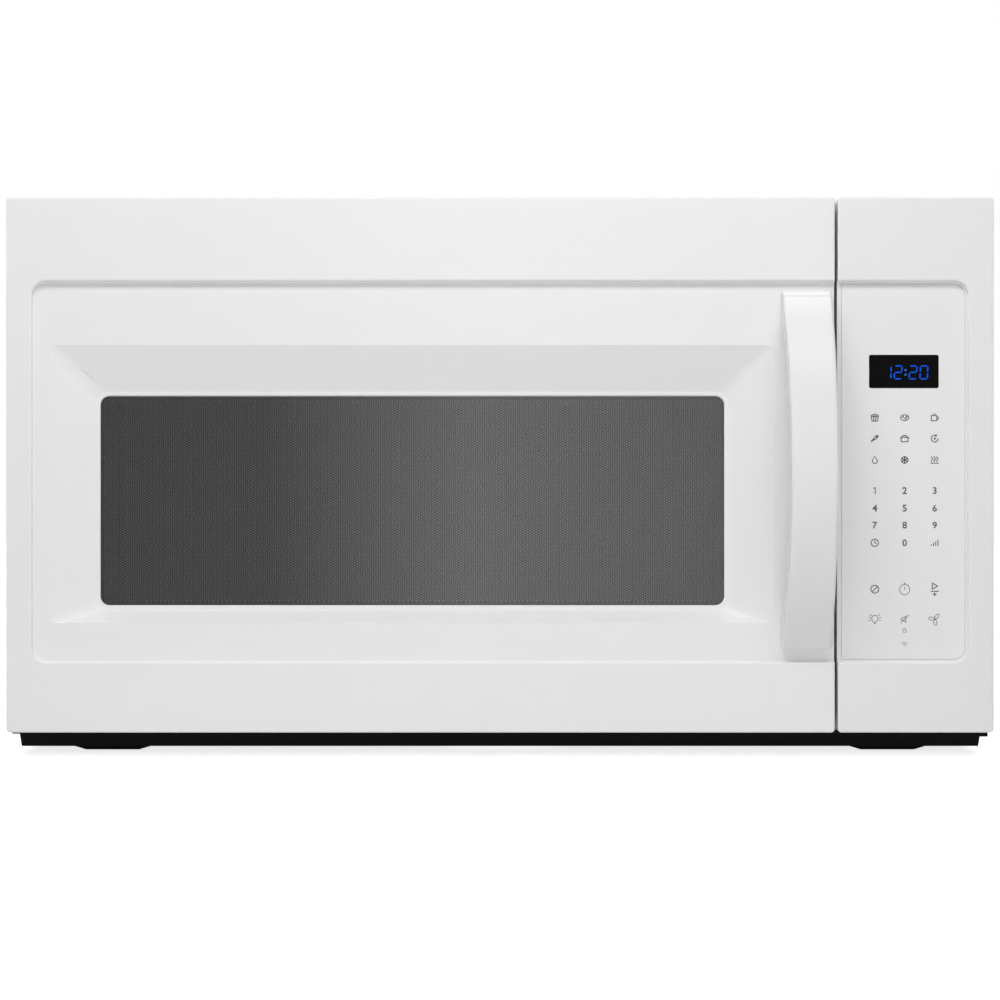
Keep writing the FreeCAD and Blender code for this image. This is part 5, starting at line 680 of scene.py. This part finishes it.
BULB += [line((3.3 * x, 0.5 + 3.3 * z), (5.0 * x, 0.5 + 5.0 * z)) for x, z in rays]
QUIET = [line((-2.6, -0.9), (-2.6, 0.9), (-1.0, 0.9), (1.0, 2.6), (1.0, -2.6), (-1.0, -0.9), (-2.6, -0.9)),
         line((-3.2, -3.2), (3.4, 3.4))]
blade = np.linspace(0, 2 * math.pi, 25)
petal = np.column_stack([2.4 + 2.3 * np.cos(blade), 1.15 * np.sin(blade)])
FAN = [petal @ np.array([[math.cos(a), math.sin(a)], [-math.sin(a), math.cos(a)]])
       for a in np.radians([50, 170, 280])] + [arc(0, 0, 0.45)]
LOCK = [line((-1.3, -1.6), (1.3, -1.6), (1.3, 0.4), (-1.3, 0.4), (-1.3, -1.6)), arc(0, 0.4, 0.9, 0, 180)]
SENSOR = [arc(0, -1.6, radius, 50, 130) for radius in (1.2, 2.4, 3.6)]

# %% Print the pictures
dark = [(KEY_X[0], 233.5, TUB), (KEY_X[1], 233.5, TUBER), (KEY_X[2], 233.5, MUG),
        (KEY_X[0], 217.4, CARROT), (KEY_X[1], 217.4, POT), (KEY_X[2], 217.4, AGAIN),
        (KEY_X[0], 200.9, DROP), (KEY_X[1], 200.9, FLAKE), (KEY_X[2], 200.9, WARMTH),
        (KEY_X[0], 137.0, CLOCK), (KEY_X[2], 137.0, LEVEL),
        (KEY_X[0], 101.2, STOP), (KEY_X[2], 101.2, GO), (KEY_X[0], DIGIT_ROWS[0], ONE)]
thin = [(KEY_X[1], 101.2, WATCH), (KEY_X[0], 78.1, BULB), (KEY_X[1], 78.1, QUIET), (KEY_X[2], 78.1, FAN)]
pale = [(KEY_X[1], 69.6, LOCK), (KEY_X[1], 58.2, SENSOR)]
for name, pictures, pen, ink in (("keypad_pictures", dark, 0.75, INK), ("keypad_symbols", thin, 0.5, INK),
                                 ("keypad_hints", pale, 0.5, PALE_INK)):
    points, faces = drawing(pictures, pen)
    piece(name, flat(points), faces, ink, "cabinet")

# %% [markdown]
# ## The clock's figures
#
# The clock is a light-emitting display of seven segments a figure, seen through smoked acrylic. Text in a font that
# imitates it would have the wrong joints, so each segment is a bar with pointed ends. A bar has six corners, a
# figure is a choice of the seven bars, and everything leans by two degrees.

# %% Figures of the clock
SEGMENTS = {"0": "abcdef", "1": "bc", "2": "abged"}
FIGURE_WIDTH, FIGURE_HEIGHT, BAR = 5.7, 10.0, 1.05           # mm between the middles of the bars, and a bar's width


def segment_bars(figures, gap=0.35, lean=math.radians(2)):
    """Bars of seven-segment figures. A bar runs along a side of two stacked squares, from start to end less a gap,
    and its ends are points. Leaning adds the height times the lean's tangent to x."""
    w, h = FIGURE_WIDTH, FIGURE_HEIGHT / 2
    ends = {"a": ((0, 2 * h), (w, 2 * h)), "b": ((w, 2 * h), (w, h)), "c": ((w, h), (w, 0)), "d": ((0, 0), (w, 0)),
            "e": ((0, h), (0, 0)), "f": ((0, 2 * h), (0, h)), "g": ((0, h), (w, h))}
    points, faces = [], []
    for text, x, z in figures:
        for name in SEGMENTS[text]:
            start, end = (np.array(corner, float) for corner in ends[name])
            along = (end - start) / np.linalg.norm(end - start)
            left = np.array([-along[1], along[0]]) * BAR / 2
            start, end = start + along * gap, end - along * gap
            bar = [start, start - left + along * BAR / 2, end - left - along * BAR / 2, end,
                   end + left - along * BAR / 2, start + left + along * BAR / 2]
            faces.append(list(range(len(points), len(points) + 6)))
            points += [corner + (x, z) for corner in bar]
    points = np.array(points)
    points[:, 0] += (points[:, 1] - points[:, 1].min()) * math.tan(lean)
    return points, faces


def lit(name, code, second):
    """Light of a display segment: two near blues in cells of 0.4 mm, like the grain of its diffuser."""
    material, tree, output = new_material(name)
    place = add(tree, "TexCoord").outputs["Object"]
    cells = add(tree, "TexVoronoi", {"Vector": place, "Scale": per(0.4)})
    colour = add(tree, "MixRGB", {"Fac": cells.outputs["Distance"], "Color1": linear(code), "Color2": linear(second)})
    light = add(tree, "Emission", {"Color": colour.outputs["Color"], "Strength": 1.0})
    tree.links.new(light.outputs[0], output.inputs["Surface"])
    return material


BLUE_LIGHT = lit("display_segment_blue", "#1560E6", "#0F4FD0")
PRINT_Y = span("display_window")[0][1] - PRINT_PROUD
FIGURES_LOW = 262.9                           # mm, the figures' lower edge
FIGURE_Z = FIGURES_LOW + BAR / 2              # middle of the lowest bars
points, faces = segment_bars([("1", 295.7, FIGURE_Z), ("2", 304.0, FIGURE_Z), ("2", 315.5, FIGURE_Z),
                              ("0", 323.9, FIGURE_Z)])
piece("display_figures", flat(points), faces, BLUE_LIGHT, "cabinet")
PALE_LIGHT = lit("display_colon_blue", "#2A8CF0", "#1C78E2")
dots = [arc(312.8, FIGURE_Z + height, 0.8, 0, 315, steps=7) for height in (3.2, 6.8)]
piece("display_colon", flat(np.concatenate(dots)), [range(8), range(8, 16)], PALE_LIGHT, "cabinet")

# %% [markdown]
# ## Studio
#
# The camera stands 1.81 m in front of the door with a lens that fills the frame as the photograph does. The
# world is white where the camera, a mirror or a glass sees it, and lights the rest softly. One large lamp above and
# in front gives the form its shade, a faint one fills from below, and three at the edges show only in mirrors.

# %% Camera
FRAME_WIDTH = 0.7692              # metres across the picture, at the door's face
DISTANCE = 1.81                   # camera to the door's face
CAMERA_HEIGHT = 0.170             # above the oven's origin
HANDLE_REACH = 0.052              # the handle stands this far in front of the door's face
SENSOR = 36.0                     # mm
front = CAD_BOX[0].y + HANDLE_REACH
camera_data = bpy.data.cameras.new("camera")
camera_data.sensor_width = SENSOR
camera_data.lens = SENSOR * DISTANCE / FRAME_WIDTH
camera_data.clip_start, camera_data.clip_end = 0.05, 50.0
camera = bpy.data.objects.new("camera", camera_data)
camera.location = (0.0, front - DISTANCE, CAMERA_HEIGHT)
camera.rotation_euler = (math.radians(90), 0.0, 0.0)
bpy.context.scene.collection.objects.link(camera)
bpy.context.scene.camera = camera
bpy.context.scene.view_settings.view_transform = "Standard"


# %% World
def mirror_or_camera(tree):
    """1 for rays that show the background: from the camera, from a mirror, or through glass."""
    path = add(tree, "LightPath").outputs
    either = add(tree, "Math", {0: path["Is Camera Ray"], 1: path["Is Glossy Ray"]}, operation="MAXIMUM")
    return add(tree, "Math", {0: either.outputs[0], 1: path["Is Transmission Ray"]}, operation="MAXIMUM").outputs[0]


WORLD_LIGHT = 0.33
world = bpy.data.worlds.new("studio")
world.use_nodes = True
tree = world.node_tree
tree.nodes.clear()
seen = mirror_or_camera(tree)
strength = add(tree, "MapRange", {"Value": seen, "To Min": WORLD_LIGHT, "To Max": 1.0}).outputs["Result"]
sky = add(tree, "Background", {"Color": (1, 1, 1, 1), "Strength": strength})
tree.links.new(sky.outputs[0], add(tree, "OutputWorld").inputs["Surface"])
bpy.context.scene.world = world


# %% Lamps
def softbox(name, place, aim, size, watts, unseen_by=""):
    """A rectangular lamp at a place, turned to face a point. The key and the fill are kept out of mirrors and
    glass. The edge lamps light no dull surface and only make thin lines on rounded edges."""
    data = bpy.data.lights.new(name, "AREA")
    data.shape = "RECTANGLE"
    data.size, data.size_y = size
    data.energy = watts
    lamp = bpy.data.objects.new(name, data)
    lamp.location = place
    lamp.rotation_euler = (Vector(aim) - Vector(place)).to_track_quat("-Z", "Y").to_euler()
    bpy.context.scene.collection.objects.link(lamp)
    lamp.visible_glossy = lamp.visible_transmission = unseen_by != "glossy"
    lamp.visible_diffuse = unseen_by != "diffuse"


OVEN = (0, -0.4, 0.2)
softbox("key_above", (-0.08, -1.30, 1.38), OVEN, (1.6, 0.4), 14.5, "glossy")
softbox("fill_low", (-0.2, -2.2, 0.05), OVEN, (0.9, 0.15), 2.6, "glossy")
softbox("edge_left", (-2.3, -1.15, 0.3), OVEN, (0.9, 1.6), 18, "diffuse")
softbox("edge_right", (2.3, -1.15, 0.3), OVEN, (0.9, 1.6), 18, "diffuse")
softbox("edge_above", (0.0, -0.75, 2.4), OVEN, (2.4, 0.5), 12, "diffuse")

# %% [markdown]
# A glossy front mirrors what stands behind the camera. A photographer hangs a large pale panel there, lit from one
# lamp near its middle, so that glass and polish show a soft gradient instead of an even veil. Only mirrors and
# glass see it.

# %% Panel for reflections
PANEL_X = (-1.2, 0.8)             # metres: where the gradient starts and ends
PANEL_Y = -2.6                    # behind the camera
PANEL_LIGHT = ((-1.2, 0.5), (-0.4, 0.7), (-0.05, 1.7), (0.8, 1.0))      # x and brightness, brightest by its lamp
panel_material, tree, output = new_material("reflection_panel")
place = add(tree, "TexCoord").outputs["Object"]
across = add(tree, "SeparateXYZ", {"Vector": place}).outputs["X"]
share = add(tree, "MapRange", {"Value": across, "From Min": PANEL_X[0], "From Max": PANEL_X[1]}).outputs["Result"]
ramp = add(tree, "ValToRGB", {"Fac": share})
stops = ramp.color_ramp.elements
for x, light in PANEL_LIGHT:
    along = (x - PANEL_X[0]) / (PANEL_X[1] - PANEL_X[0])
    stop = stops[0] if along == 0 else stops[-1] if along == 1 else stops.new(along)
    stop.color = (light / 2, light / 2, light / 2, 1)
glow = add(tree, "Emission", {"Color": ramp.outputs["Color"], "Strength": 2.0})
tree.links.new(glow.outputs[0], output.inputs["Surface"])
panel_mesh = bpy.data.meshes.new("panel")
panel_mesh.from_pydata([(-2.5, PANEL_Y, -0.02), (2.2, PANEL_Y, -0.02), (2.2, PANEL_Y, 1.4), (-2.5, PANEL_Y, 1.4)],
                       [], [(3, 2, 1, 0)])
panel_mesh.materials.append(panel_material)
panel = bpy.data.objects.new("panel", panel_mesh)
bpy.context.scene.collection.objects.link(panel)
for kind in ("camera", "diffuse", "volume_scatter", "shadow"):
    setattr(panel, f"visible_{kind}", False)
panel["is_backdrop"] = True

# %% [markdown]
# The floor is pale and plain. Where the camera sees it, a little light of its own lifts it to the white of the
# backdrop, and it still takes the oven's shadow.

# %% Floor
FLOOR_LEVEL = CAD_BOX[0].z
FLOOR_REACH = 8                   # metres from the middle to each edge
FLOOR_LIFT = 0.80                 # light of its own that brings it to the white of the backdrop
floor_material, tree, output = new_material("studio_floor")
lift = add(tree, "Math", {0: mirror_or_camera(tree), 1: FLOOR_LIFT}, operation="MULTIPLY")
paint = add(tree, "BsdfDiffuse", {"Color": linear("#F0F0F0")})
glow = add(tree, "Emission", {"Color": (1, 1, 1, 1), "Strength": lift.outputs[0]})
both = add(tree, "AddShader", {0: paint.outputs[0], 1: glow.outputs[0]})
tree.links.new(both.outputs[0], output.inputs["Surface"])
floor_mesh = bpy.data.meshes.new("floor")
corners = [(x * FLOOR_REACH, y * FLOOR_REACH, FLOOR_LEVEL) for x, y in ((-1, -1), (1, -1), (1, 1), (-1, 1))]
floor_mesh.from_pydata(corners, [], [(0, 1, 2, 3)])
floor_mesh.materials.append(floor_material)
floor = bpy.data.objects.new("floor", floor_mesh)
bpy.context.scene.collection.objects.link(floor)
floor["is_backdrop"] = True

# %% Size and finish
SHOWN_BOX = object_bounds()
{"cad": [list(corner) for corner in CAD_BOX], "visual": [list(corner) for corner in SHOWN_BOX]}
